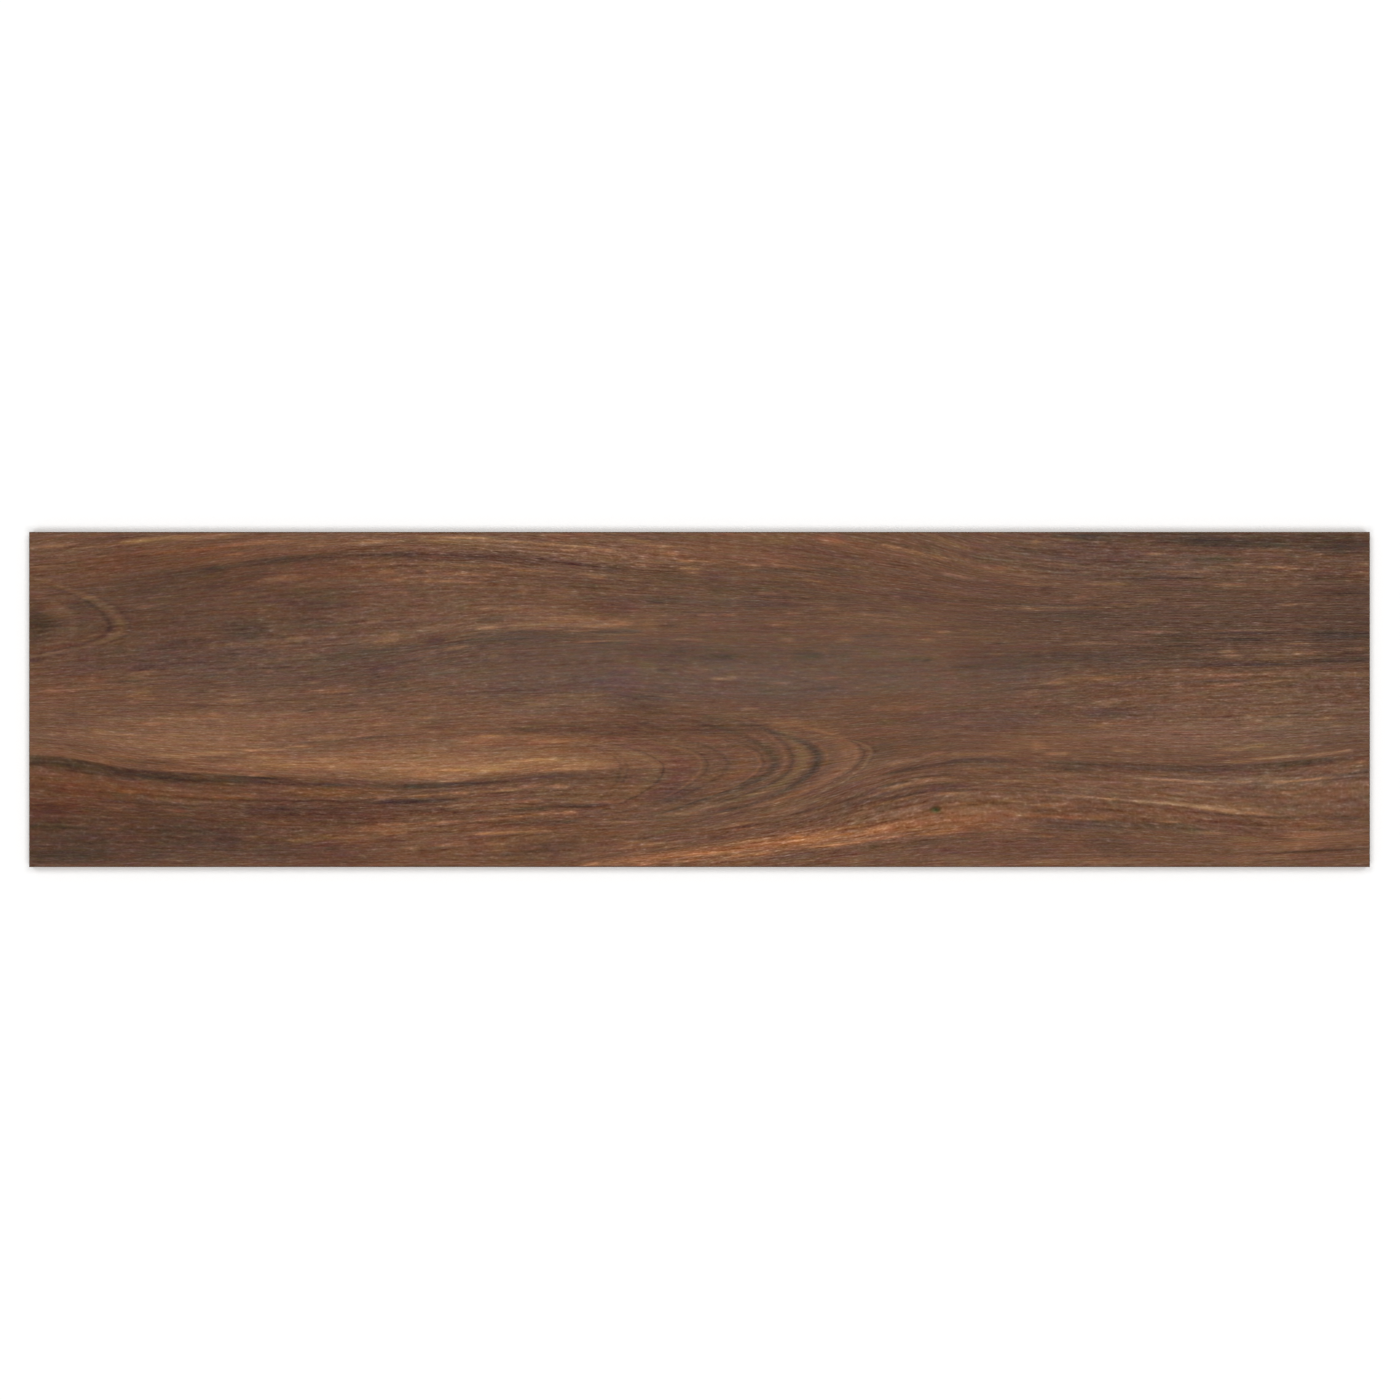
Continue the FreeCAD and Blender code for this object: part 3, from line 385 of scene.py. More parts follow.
    (125, -50.2, 32, 0.6, 11, -5, 0), (125, -64.3, 16, 0.6, 10, 0, 1), (130, 87.7, 12, 0.6, 13, 0, 1),
    (130, 57, 7, 0.8, 0, 2, -1), (130, 24, 8, 1.5, -4, -2, 2), (133, 73.8, 6, 0.8, 6, 1, -1),
    (135, -46.2, 11, 0.6, -10, 0, 1), (136, 35.5, 5, 0.8, 10, 0, 1), (137, 23.5, 3.5, 0.8, -14, 0, 0),
    (138, 90.5, 11, 1.5, -6, 0, 1), (138, -47.4, 13, 0.7, 13, -1, 1), (138, -80, 11, 0.6, 14, 1, 1),
    (140, -91.5, 14, 2, -2, 0, -2), (141, -32.3, 7, 1, 9, 0, -1), (143, 84.8, 6, 0.7, 12, 1, 1),
    (145, 40.2, 6, 0.8, 12, 0, 1), (146, -56, 5, 0.7, 15, 2, 1), (148, 12, 6, 4, 2, 1, -1),
    (150, 93, 14, 1, 6, 0, 2), (150, -78.4, 10, 1.2, 10, 2, 1), (153, -20.8, 5, 0.7, -10, -1, 0),
    (153, -56, 6, 0.8, 10, 2, 2), (154, 73.8, 10, 0.8, 12, -1, 0), (156, -62.2, 13, 0.5, 11, 0, 1),
    (157, -14.3, 8, 0.7, 7, -1, -1), (160, 40.8, 10, 1, 5, 1, 1), (160, 19.5, 12, 0.5, -8, 0, 0),
    (160, -32.3, 16, 0.8, 8, 1, 1), (160, -54, 18, 0.7, -8, 0, 0), (165, 90.5, 10, 1.5, 0, 0, -2),
    (166, -79.8, 20, 0.6, -10, 0, 0), (168, -46.5, 16, 1.2, -2, 1, 0), (171, 83.5, 7, 2, 0, -1, 3),
    (173, 78, 12, 1.3, 5, 2, 0), (177, 27.3, 5, 0.7, 8, 0, 0), (178, 54.7, 9, 0.5, 7, 0, 0),
    (178, -31.8, 10, 0.8, 8, 1, 1), (180, 33.5, 6, 0.6, -9, 0, 0), (180, 12.5, 16, 1.5, 0, -2, 0),
    (182, 78.5, 5, 0.5, 9, 0, 1), (185, -48.5, 14, 0.7, 8, 0, 2), (185, -60.5, 10, 0.5, 9, 0, 1),
    (187, 88, 7, 1.2, 5, 0, 2), (190, -55.8, 9, 0.5, -11, 0, 0), (192, -68.3, 10, 0.6, 9, 0, 2),
    (195, -34.8, 5, 0.7, -7, 2, -2), (196, 68.6, 13, 0.6, 9, 0, 1), (196, 54.3, 9, 0.7, 9, -1, 1),
    (196, 31.5, 10, 1.2, 0, 1, -3), (198, -69.5, 18, 0.8, 5, 4, 0), (199.5, 4, 5, 2.5, 5, 1, 0),
    (200, -94.5, 42, 0.5, -8, 0, 0), (201, -89.5, 16, 0.7, -5, 0, 1), (201.5, 94.2, 4, 0.8, 18, 0, 2),
    (202, 83.5, 5, 0.6, 8, 0, 0), (202, -28, 4, 2, 8, 1, -1), (205, 56.3, 42, 0.5, -9, -1, 1),
    (205, -97, 14, 1, 6, 0, 2), (206, 66, 5, 0.7, -10, 0, 0), (207, 8, 6, 0.6, -10, 0, 0),
    (207, -63, 8, 0.7, 12, 1, 0), (208, -81.7, 5, 0.6, 10, 0, 0), (211, 9.8, 9, 0.9, 15, 0, 1),
    (211, -32.5, 4, 0.8, 16, 1, 0), (212, -45.6, 16, 0.6, 7, 0, 0), (215, -37.8, 28, 0.8, -4, 0, 1),
    (216, 80.6, 9, 0.6, 9, 0, 1), (217, -32, 3.5, 0.8, 13, 0, 1), (220, 95.4, 12, 0.7, 10, 0, 1),
    (220, -62, 5, 2, 4, 1, 1), (222, 42.7, 5, 0.6, 9, -1, 1), (222, 32.9, 5, 0.6, 10, 0, 0),
    (222, 6.5, 5, 0.6, 10, 0, 0), (222, -41.6, 18, 0.9, -13, -1, 0), (224, 59.3, 6, 0.6, 6, 1, -1),
    (224, -57.6, 12, 0.7, 9, -1, 1), (225, 55, 24, 0.5, 9, -1, 0), (228, 61.2, 4, 0.7, 9, 0, 0),
    (228, 12.6, 16, 1.3, 6, 1, 1), (228, -4.5, 5, 0.6, 9, -1, 0), (228, -53, 40, 0.6, 6, -4, 0),
    (229, -71, 20, 0.8, 5, 4, 0), (230, -58.2, 45, 0.7, 9, -6, 0), (231, 33.5, 9, 0.8, 9, 1, -1),
    (233, 64, 6, 1.2, 2, 2, -1), (236, 68.7, 7, 0.6, 11, 0, 1), (238, 93.5, 6, 0.6, 9, 0, 1),
    (238, -58.6, 12, 0.6, 9, -1, 1), (238, -97, 8, 1.3, 6, 2, -1), (239, -15.5, 6, 1, 9, 0, 3),
    (240, 12.6, 9, 1, 8, 1, 0), (240, -65.5, 20, 0.7, -8, 0, 0), (240, -69.7, 8, 0.7, 9, 2, 0),
    (241, -3, 7, 0.8, 9, -1, -1), (243, 33.4, 10, 0.7, 10, -1, 0), (243, -1.2, 9, 1, 9, -1, -1),
    (244, 96.6, 10, 0.6, 9, 0, 2), (244, -59.3, 6, 0.7, 11, 0, 1), (248, 68.9, 9, 0.8, 11, 0, 3),
    (250, 56.8, 5, 0.5, 9, 0, 1), (250, 12.8, 15, 1.5, 7, 1, 2), (250, -30.3, 6, 0.8, 11, 0, 1),
    (250, -53.4, 14, 0.6, -9, 1, 0), (250, -73.5, 45, 0.7, -7, 1, 0), (252, -14.5, 12, 0.7, 10, 0, 0),
    (255, -61.9, 13, 0.6, -11, 0, 0), (256, 55.6, 7, 0.5, 8, 0, 1), (256, 11.3, 15, 0.5, -8, 0, 1),
    (258, -31, 5, 1, 9, 0, 2), (262, 33, 13, 0.5, 8, 1, -1), (262, -61, 6, 0.9, 11, -1, 1),
    (262, -93.5, 26, 0.6, -9, 0, 0), (263, 23, 5, 0.6, 10, -1, -1), (267, -91, 26, 0.8, -7, 1, 0),
    (268, 58.8, 10, 0.9, 7, 1, 2), (268, 30.5, 15, 0.5, -9, 0, -1), (271, 86.9, 7, 0.6, 17, -1, 0),
    (272, 40.3, 16, 0.7, 11, 1, -1), (272, -64, 13, 0.7, -10, 1, 0), (274, -61.6, 6, 0.8, 11, 0, 2),
    (275, 72.3, 24, 0.9, -12, -2, 1), (275, -73.7, 22, 0.5, -12, 0, 1), (276, -37, 4, 0.6, 10, -1, 0),
    (278, -54, 15, 0.6, -11, 1, 0), (279, 38, 11, 0.7, -11, 0, 1), (279, -72.8, 6, 0.6, 18, 0, 0),
    (284, 76.4, 18, 0.5, 11, -1, 0), (284, -55.3, 7, 0.4, 9, 0, 1), (284, -62.2, 6, 0.9, 8, -1, 2),
    (285, 69, 20, 1.5, 0, 1, -2), (285, -48.4, 26, 0.5, 16, 0, 1), (285, -62.6, 45, 0.8, 10, -7, 1),
    (286, 80.5, 5, 0.5, 13, 1, 0), (286, 7.7, 4, 0.6, 10, -1, 0), (289, 36, 9, 2, -5, -1, 2),
    (290, 65, 28, 1, -8, -1, 2), (290, 32, 13, 0.5, -10, 0, 0), (293, 1.3, 11, 0.7, 11, -1, -1),
    (295, -16, 8, 4, 1, -1, 1), (297, 55.8, 4, 0.5, 12, -1, 0), (300, 72.5, 20, 0.8, -7, -1, 0),
    (300, 29.7, 11, 0.5, -8, 0, 0), (300, 24, 17, 0.8, -7, -1, 0), (300, -42.3, 32, 0.7, -7, -1, 0),
    (300, -48.7, 50, 0.6, 10, -4, 0), (300, -64.5, 7, 0.9, 12, 0, 1), (302, 76.3, 5, 0.6, 11, 0, 0),
    (305, -10.7, 22, 0.5, -9, 0, 0), (305, -68, 18, 0.6, -11, 0, 0), (305, -79.7, 10, 0.6, 11, 1, 0),
    (306, -11.7, 9, 0.5, 9, 0, 1), (308, 79, 8, 0.8, 6, 1, 3), (308, 11, 20, 0.6, -10, 1, 0),
    (309, -44.5, 9, 1, -3, -1, -1), (310, 83.5, 18, 1.2, -9, -1, 3), (310, -33.3, 7, 0.5, 12, 0, 0),
    (310, -92.3, 11, 0.5, -9, 0, 0), (312, 14.3, 18, 0.8, 9, 1, -1), (312, -34.5, 7, 0.8, -9, 1, -1),
    (312, -66.5, 13, 0.9, 13, 0, 1), (315, 28.4, 5, 0.7, 17, 0, 2), (315, 8.7, 12, 0.7, 11, 1, -1),
    (316, 68.6, 11, 0.7, 10, 2, 1), (318, 26, 6, 0.8, 15, -1, 1), (318, -30, 10, 1, 8, 1, 0),
    (320, 21, 32, 1.2, -11, -1, -1), (322, 92.8, 32, 1, -4, -2, 2), (322, 41.2, 24, 0.5, 11, -1, 0),
    (322, -37, 10, 0.7, 9, 0, 1), (322, -49.3, 6, 0.7, 13, 0, 1), (324, 80.4, 7, 0.6, 12, 0, 1),
    (324, -15.8, 7, 1, -3, -1, 3), (324, -96, 8, 1.5, 4, 2, 0), (325, 91.2, 38, 0.6, -9, -1, 0),
    (325, 36, 22, 0.8, -11, -2, 0), (325, -57.6, 15, 0.5, -9, 1, 0), (325, -83, 11, 1.2, 4, 0, 4),
    (330, 64.3, 28, 0.8, -8, 0, 1), (330, 39.7, 30, 0.6, -10, -1, 0), (330, -68, 35, 0.7, 9, -4, 0),
    (331, -14.5, 9, 2, 5, 1, -1), (331, -22.3, 7, 1, -2, -1, -2), (332, -68.2, 10, 0.8, 12, 0, 1),
    (333, -27.6, 4, 1, 10, 0, 4), (335, 88.7, 15, 0.6, 6, 2, 0), (335, 76.9, 13, 0.8, 2, 2, -1),
    (335, -56.5, 50, 0.6, -8, 0, 0), (336, -35.2, 9, 0.8, 11, 0, 1), (340, 79, 11, 0.6, 11, 1, 2),
    (340, 77.8, 10, 0.4, -10, 1, 0), (340, -55.8, 6, 0.6, 11, 0, -1), (341, 27.5, 10, 3, 4, 0, 2),
    (343, 84.6, 11, 0.5, -11, 0, -1), (343, -97, 11, 1.5, 0, 0, 2), (344, -10.4, 10, 0.5, -16, -1, 1),
    (345, 21, 22, 0.8, -9, -1, 1), (345, 11.2, 18, 0.5, 8, 0, 2), (345, -70.6, 20, 0.5, -11, 0, 1),
    (346, -14.6, 9, 0.8, 10, 0, 0), (346, -49.3, 7, 0.7, 13, 0, 1), (348, -93.5, 6, 1, 4, 2, 0),
    (350, 78.3, 10, 0.8, 12, 3, 1), (350, 56.6, 4, 0.7, 14, 0, 1), (350, 8.4, 18, 0.5, -9, 0, 0),
    (350, -34, 11, 0.7, 14, 0, 1), (350, -83.9, 15, 0.5, -10, 1, 0), (352, -55.6, 9, 0.7, 13, 0, -1),
    (354, 86, 7, 2.5, -3, -1, 2), (355, 68.8, 4, 0.8, 12, -1, 1), (355, 33.2, 5, 0.7, 15, -1, 0),
    (357.5, 27.6, 4, 0.8, 14, 0, 1), (358, -70, 38, 0.7, -9, 0, 0), (358, -87, 15, 1.5, 5, 2, 0),
    (358, -90.9, 32, 0.6, -15, 1, 0), (360, 56.8, 10, 0.5, 10, 0, 1), (360, -8.8, 8, 0.7, -10, -1, 2),
    (360, -48.2, 13, 0.5, 15, 1, 1), (360, -82.2, 13, 1.2, 8, 1, 0), (361, 33.3, 5, 0.6, 13, -1, 0),
    (362, 43.4, 10, 0.5, 7, 0, 1), (362, -28.5, 5, 1, 8, 1, -1), (362, -37, 18, 1.5, -4, 0, 2),
    (364, 18.2, 8, 0.7, 8, 0, 1), (365, 27.5, 4, 0.6, 12, 1, 0), (365, -33, 35, 0.6, 6, -7, 1),
    (366, 77.7, 5, 0.8, 11, 0, 0), (368, 86.7, 4, 0.8, 13, -1, 0), (368, -77.4, 11, 0.6, -14, 0, 0),
    (370, -80.5, 26, 0.8, 5, 3, 0), (370, -90.5, 30, 0.8, -8, 1, 0), (370, -94.5, 13, 2.5, 0, 1, -2),
    (372, -32.5, 13, 0.7, 13, 0, 1), (372, -46.8, 10, 0.5, 11, 1, 0), (372, -46.8, 35, 0.6, 9, -3, 0),
    (374, -11.8, 7, 0.8, 10, 0, 1), (376, 76.8, 8, 0.5, 9, 0, 0), (380, 23.2, 27, 1.2, -12, -2, 1),
    (380, -15.5, 7, 0.5, 10, 0, 2), (385, 63.5, 20, 0.8, -9, -1, 0), (385, -45, 15, 0.5, -10, 0, 0),
    (385, -70.6, 17, 0.5, -7, 0, 1), (386, -30.4, 5, 0.7, 14, 0, 0), (386, -42.5, 10, 0.7, 7, 1, -1),
    (390, -89.6, 15, 0.5, -9, 1, 0), (392, 14.7, 10, 0.8, 8, 1, 0), (393, 30.6, 10, 0.8, 8, 0, 1),
    (395, -37.3, 4.5, 0.6, 16, -1, 0), (396, 81, 7, 0.9, 9, 0, 1), (396, 75.6, 7, 0.8, 11, 0, 0),
]
streak_spread = 1.35
pale_gain = 1.5

# Where the fine grain is livelier or calmer: x, y, half length, reach above, reach below, how much.
LIVELY = [
    (60, 22, 200, 42, 34, -0.5), (-110, 88, 130, 12, 16, 0.6), (330, 50, 170, 34, 40, 0.45),
    (190, -64, 190, 14, 16, 0.15), (40, -88, 120, 12, 12, 0.7), (-160, -68, 130, 20, 14, 0.35),
    (370, -40, 90, 10, 14, 0.1), (-320, 60, 130, 25, 25, -0.15),
]


def lens(x, level, at_x, at_y, length, above, below):
    """Strength of a patch: e to the minus square of a point's distance off the patch's fibre over its reach.
    Reach and strength shrink to nothing at the ends, as an ellipse does. The distance is in mm at the patch's
    middle, and follows the fibres where they part or close up."""
    beside = fibre_level(np.full(3, float(at_x)), at_y + np.array([-1.0, 0, 1]))
    off = (level - beside[1]) * 2 / (beside[2] - beside[0])
    left = np.clip(1 - ((x - at_x) / length) ** 2, 1e-6, 1)
    return np.exp(-((off / np.where(off > 0, above, below)) ** 2) / left) * np.sqrt(left)


# Lines of the face's grid follow the fibres, and straighten towards the long edges. They are closer
# together across the fibres than along them, because every streak is long and thin.
face_half_length = half_length - bevel
face_half_width = half_width - bevel
lines_along = 186
lines_across = 475
straightening = 6
along = np.linspace(-face_half_length, face_half_length, lines_along)
across = np.linspace(-face_half_width, face_half_width, lines_across)
x, level = np.meshgrid(along, across)
follow = 1 - (np.abs(level) / face_half_width) ** straightening
y = level + follow * (fibre_height(x, level) - level)
level = fibre_level(x, y)

stain = np.zeros((3, *x.shape))
for at_x, at_y, length, above, below, *shades in PATCHES:
    stain += np.multiply.outer(shades, lens(x, level, at_x, at_y, length, above, below))
for at_x, at_y, length, half, light, warm, green in STREAKS:
    strength = lens(x, level, at_x, at_y, length, half * streak_spread, half * streak_spread)
    light *= pale_gain if light > 0 else 1
    stain += np.multiply.outer((light, warm, green), strength)
lighter, warmer, greener = stain

# The grain is livelier in pale wood than in dark wood, and never dies away.
lively_by_light = 0.01
least_lively = 0.4
lively = 1 + lively_by_light * lighter
for at_x, at_y, length, above, below, more in LIVELY:
    lively += more * lens(x, level, at_x, at_y, length, above, below)
lively = np.maximum(lively, least_lively)


def ring_nest(off, blunt_above, blunt_below, back_above, back_below):
    """For rings whose tips are off by so much from a point: how much wider along x their bands are there than
    at the tip, which is their slope to a low power, and how strong they still are, which is e to the minus
    how far behind its tip the ring is over how far back it can be seen. The rings are parabolas."""
    above = off > 0
    blunt = np.where(above, blunt_above, blunt_below)
    wider = np.hypot(1, 2 * off / blunt) ** spread_power
    strength = np.exp(-(off**2) / (blunt * np.where(above, back_above, back_below)))
    return wider, strength


# The saw met the growth rings at two places, and shows each as a nest of tongues that point along +x. Each
# point keeps its distance from the tongues' axis, and how wide and strong their rings are there.
spread_power = 0.35
ring_axis = np.interp(x, [-40, -21, 0, 48, 73, 97, 105], [-40, -41, -38.5, -37.5, -35, -32, -30])
small_axis = 42.5
ring_off = y - ring_axis
small_off = y - small_axis
ring_spread, ring_fade = ring_nest(ring_off, blunt_above=13, blunt_below=11, back_above=35, back_below=90)
small_spread, small_fade = ring_nest(small_off, blunt_above=18, blunt_below=6, back_above=60, back_below=90)

# The relief that the press leaves in the face: shallow troughs along the fibres, deeper where it is darker.
mean_depth = 0.08
most_depth = 0.2
depth_by_light = 0.002
rng = np.random.default_rng(7)


def soft_noise(long, wide):
    """Random numbers on the grid, averaged with bells that are long mm along it and wide mm across: the
    numbers' waves are multiplied by e to the minus half of (2 pi times size times waves per mm) squared."""
    turns_along = np.fft.rfftfreq(lines_along, along[1] - along[0])
    turns_across = np.fft.fftfreq(lines_across, across[1] - across[0])[:, None]
    bells = np.exp(-2 * np.pi**2 * ((long * turns_along) ** 2 + (wide * turns_across) ** 2))
    field = np.fft.irfft2(np.fft.rfft2(rng.standard_normal(x.shape)) * bells, x.shape)
    return field / field.std()


long_waves = 0.03 * soft_noise(45, 1.6)
short_waves = 0.025 * soft_noise(14, 0.7)
trough = np.clip(mean_depth + long_waves + short_waves - depth_by_light * lighter, 0, most_depth)


def edged(grid):
    """The grid with its own outermost values repeated once round it."""
    return np.pad(grid, 1, mode="edge")


top_x = edged(x)
top_x[:, 0], top_x[:, -1] = -half_length, half_length
top_y = edged(y)
top_y[0], top_y[-1] = -half_width, half_width
top_z = np.pad(thickness - trough, 1, constant_values=thickness - bevel)

# The keys in the back, as many as fit inside the border: every recess has a line at its mouth and one at its
# floor, both ways.
key_pitch = 20
key_rib = 3
key_border = 10
key_depth = 0.5
key_draft = math.radians(50)
key_mouth = (key_pitch - key_rib) / 2
key_floor = key_mouth - key_depth * math.tan(key_draft)


def key_lines(half):
    """Lines across the back from edge to edge, and which of them run along the floor of a recess."""
    count = int((2 * half - 2 * key_border + key_rib) // key_pitch)
    centres = (np.arange(count) - (count - 1) / 2) * key_pitch
    lines = (centres[:, None] + np.array([-key_mouth, -key_floor, key_floor, key_mouth])).ravel()
    floors = np.tile([False, True, True, False], count)
    return np.concatenate([[-half], lines, [half]]), np.concatenate([[False], floors, [False]])


key_x, floor_x = key_lines(half_length)
key_y, floor_y = key_lines(half_width)
back_x, back_y = np.meshgrid(key_x, key_y)
back_z = key_depth * (floor_x & floor_y[:, None])


def grid_faces(z, first):
    """Cells of a grid whose points are numbered along its rows from first. A corner cell, where one point
    alone lies higher than the other three, is cut into two triangles through that point."""
    rows, columns = z.shape
    corner = first + np.arange(rows)[:-1, None] * columns + np.arange(columns)[:-1]
    cells = np.stack([corner, corner + 1, corner + columns + 1, corner + columns], -1).reshape(-1, 4)
    heights = z.ravel()[cells - first]
    high = heights > heights.min(1, keepdims=True) + bevel / 2
    alone = high.sum(1) == 1
    turned = np.where((high[:, 1] | high[:, 3])[:, None], np.roll(cells, -1, 1), cells)[alone]
    return cells[~alone], np.concatenate([turned[:, :3], turned[:, [2, 3, 0]]])


def wall_faces(low, high, low_at, high_at):
    """Triangles between two lines of points: each step along one line joins the point of the other that
    its middle lies beside."""
    low_middle = (low_at[1:] + low_at[:-1]) / 2
    high_middle = (high_at[1:] + high_at[:-1]) / 2
    to_low = low[np.searchsorted(low_middle, high_middle)]
    to_high = high[np.searchsorted(high_middle, low_middle, side="right")]
    return np.concatenate([
        np.stack([high[1:], high[:-1], to_low], -1),
        np.stack([low[:-1], low[1:], to_high], -1),
    ])


top = np.arange(top_z.size).reshape(top_z.shape)
back = np.arange(back_z.size).reshape(back_z.shape) + top.size
top_cells, top_corners = grid_faces(top_z, 0)
back_cells, back_corners = grid_faces(back_z, top.size)
walls = np.concatenate([
    wall_faces(back[0], top[0], key_x, top_x[0]),
    wall_faces(back[-1], top[-1], key_x, top_x[-1])[:, ::-1],
    wall_faces(back[:, 0], top[:, 0], key_y, top_y[:, 0])[:, ::-1],
    wall_faces(back[:, -1], top[:, -1], key_y, top_y[:, -1]),
])
points = np.stack([
    np.concatenate([top_x.ravel(), back_x.ravel()]),
    np.concatenate([top_y.ravel(), back_y.ravel()]),
    np.concatenate([top_z.ravel(), back_z.ravel()]),
], -1) * MM
faces = (top_cells.tolist() + top_corners.tolist() + back_cells[:, ::-1].tolist()
         + back_corners[:, ::-1].tolist() + walls.tolist())

mesh = bpy.data.meshes.new("fired_plank")
mesh.from_pydata(points.tolist(), [], faces)
for name, grid in (
    ("fibre_level", level), ("lighter", lighter), ("warmer", warmer), ("greener", greener),
    ("lively", lively),
    ("ring_off", ring_off), ("ring_spread", ring_spread), ("ring_fade", ring_fade),
    ("small_off", small_off), ("small_spread", small_spread), ("small_fade", small_fade),
):
    values = np.concatenate([edged(grid).ravel(), np.zeros(back_z.size)]).astype(np.float32)
    mesh.attributes.new(name, "FLOAT", "POINT").data.foreach_set("value", values)

# The glaze covers the cells inside the bevel, and the bare body shows on everything else. Only edges sharper
# than those of the face's relief stay sharp.
sharp_from = math.radians(25)
glazed = np.zeros(len(faces), bool)
glazed[: len(top_cells)] = top_z.ravel()[top_cells].min(1) > thickness - bevel
mesh.polygons.foreach_set("material_index", 1 - glazed.astype(np.int32))
mesh.polygons.foreach_set("use_smooth", glazed)
mesh.set_sharp_from_angle(angle=sharp_from)
mesh.update()

plank = bpy.data.objects.new("fired_plank", mesh)
bpy.context.collection.objects.link(plank)


class Shade:
    """One output socket of a material's nodes. Arithmetic on it adds Math nodes to the same tree."""

    def __init__(self, tree, socket):
        self.tree = tree
        self.socket = socket

    @staticmethod
    def add(tree, kind, settings, inputs, output=0):
        """Adds a node, sets it up, fills its inputs with numbers or links, and returns one output."""
        node = tree.nodes.new(kind)
        for name, value in settings.items():
            setattr(node, name, value)
        for name, value in inputs.items():
            if isinstance(value, Shade):
                tree.links.new(value.socket, node.inputs[name])
            else:
                node.inputs[name].default_value = value
        return Shade(tree, node.outputs[output] if node.outputs else None)

    def maths(self, operation, *values):
        """One Math node of these values, in this socket's tree."""
        return Shade.add(self.tree, "ShaderNodeMath", {"operation": operation}, dict(enumerate(values)))

    def __add__(self, other):
        return self.maths("ADD", self, other)

    def __sub__(self, other):
        return self.maths("SUBTRACT", self, other)

    def __rsub__(self, other):
        return self.maths("SUBTRACT", other, self)

    def __mul__(self, other):
        return self.maths("MULTIPLY", self, other)

    def __truediv__(self, other):
        return self.maths("DIVIDE", self, other)

    def __pow__(self, other):
        return self.maths("POWER", self, other)

    __radd__ = __add__
    __rmul__ = __mul__

    def tinted(self, colour, amount):
        """This colour plus so much of another."""
        return Shade.add(self.tree, "ShaderNodeVectorMath", {"operation": "MULTIPLY_ADD"},
                         {0: amount, 1: colour, 2: self})


def new_material(name):
    """An empty material, and its node tree."""
    material = bpy.data.materials.new(name)
    material.use_nodes = True
    material.node_tree.nodes.clear()
    return material, material.node_tree


def attribute(tree, name):
    """A number kept at the mesh's points."""
    return Shade.add(tree, "ShaderNodeAttribute", {"attribute_name": name}, {}, "Fac")


def noise(tree, vector, detail):
    """Noise about nought, with one bump to each unit of its vector."""
    made = Shade.add(tree, "ShaderNodeTexNoise", {}, {"Vector": vector, "Scale": 1.0, "Detail": detail})
    return made - 0.5


def bell(distance):
    """One in the middle, falling away as e to the minus distance squared."""
    return distance.maths("EXPONENT", -1 * distance * distance)


# The glaze: a clear matt coat over the print. The print's colour is written as a display shows it, in steps
# of 255, with what one step lighter, warmer or greener adds. LEVEL is how bright the light is, and SHEEN what
# the glaze reflects of it, and both are taken out of the colour.
STEP = 1 / 255
WOOD = (109.5 * STEP, 79.4 * STEP, 62.3 * STEP)
LIGHTER = (1.50 * STEP, 1.04 * STEP, 0.68 * STEP)
WARMER = (0.76 * STEP, -0.11 * STEP, -0.65 * STEP)
GREENER = (-0.34 * STEP, 0.86 * STEP, -0.55 * STEP)
GREY = (STEP, STEP, STEP)
LEVEL = 1.03
SHEEN = 0.018

# The rings of each nest: where the tip is along the plank, how blunt it is above and below its axis, the half
# width of the band, lighter, warmer, greener.
RINGS = [
    (-47, 8, 30, 1, -7, 0, 0), (-43, 8, 30, 0.9, -6, 0, 0), (-27, 5, 20, 3, 4, 0, 2),
    (-21.4, 6, 19, 0.9, -12, 0, 0), (-10, 8, 14, 6, -3, 2, -3), (1.2, 8.5, 14, 1.1, 9, 0, 0),
    (5, 8.5, 13, 0.8, -7, 0, 0), (17, 8.5, 11.5, 1.5, -6, -1, 0), (27, 9, 12, 5, 2, 4, 0),
    (36, 8, 12, 0.9, 7, 2, 0), (38.5, 11, 12, 1, -7, 0, 0), (45, 13.5, 10.5, 3, -12, -3, 2),
    (51.3, 27, 8.5, 1.2, 8, -3, 0), (55.5, 26, 12.5, 1.4, -10, -2, 0), (61.5, 32, 12, 3, 8, -1, 4),
    (70.8, 12.5, 15, 3, -15, -6, 1), (76.5, 13, 12, 1, 4, 3, 0), (88, 16, 12, 4, 9, 2, 0),
    (93.5, 12, 11, 1.8, 9, 2, 0), (98, 8, 12, 0.9, -9, 0, 0), (102, 6, 14.5, 1, 8, -3, 2),
    (104.5, 6, 14.5, 0.9, -6, 0, 0),
]
SMALL_RINGS = [
    (-392, 18, 6, 6, -5, 0, 0), (-372, 18, 6, 3, 4, -1, 0), (-352, 18, 5.5, 1.6, -8, 0, 0),
    (-345, 17, 5.5, 3, 10, -1, 2), (-339, 18, 5.5, 1.5, -4, 0, 0),
]

glaze, tree = new_material("printed_glaze")
place = Shade.add(tree, "ShaderNodeTexCoord", {}, {}, "Object")
place_x = Shade.add(tree, "ShaderNodeSeparateXYZ", {}, {"Vector": place}, "X") / MM
place_y = Shade.add(tree, "ShaderNodeSeparateXYZ", {}, {"Vector": place}, "Y") / MM
fibre = attribute(tree, "fibre_level")


def grain(long, wide, detail, seed):
    """Noise whose bumps are long mm along the fibres and wide across them."""
    vector = Shade.add(tree, "ShaderNodeCombineXYZ", {}, {"X": place_x / long, "Y": fibre / wide, "Z": seed})
    return noise(tree, vector, detail)


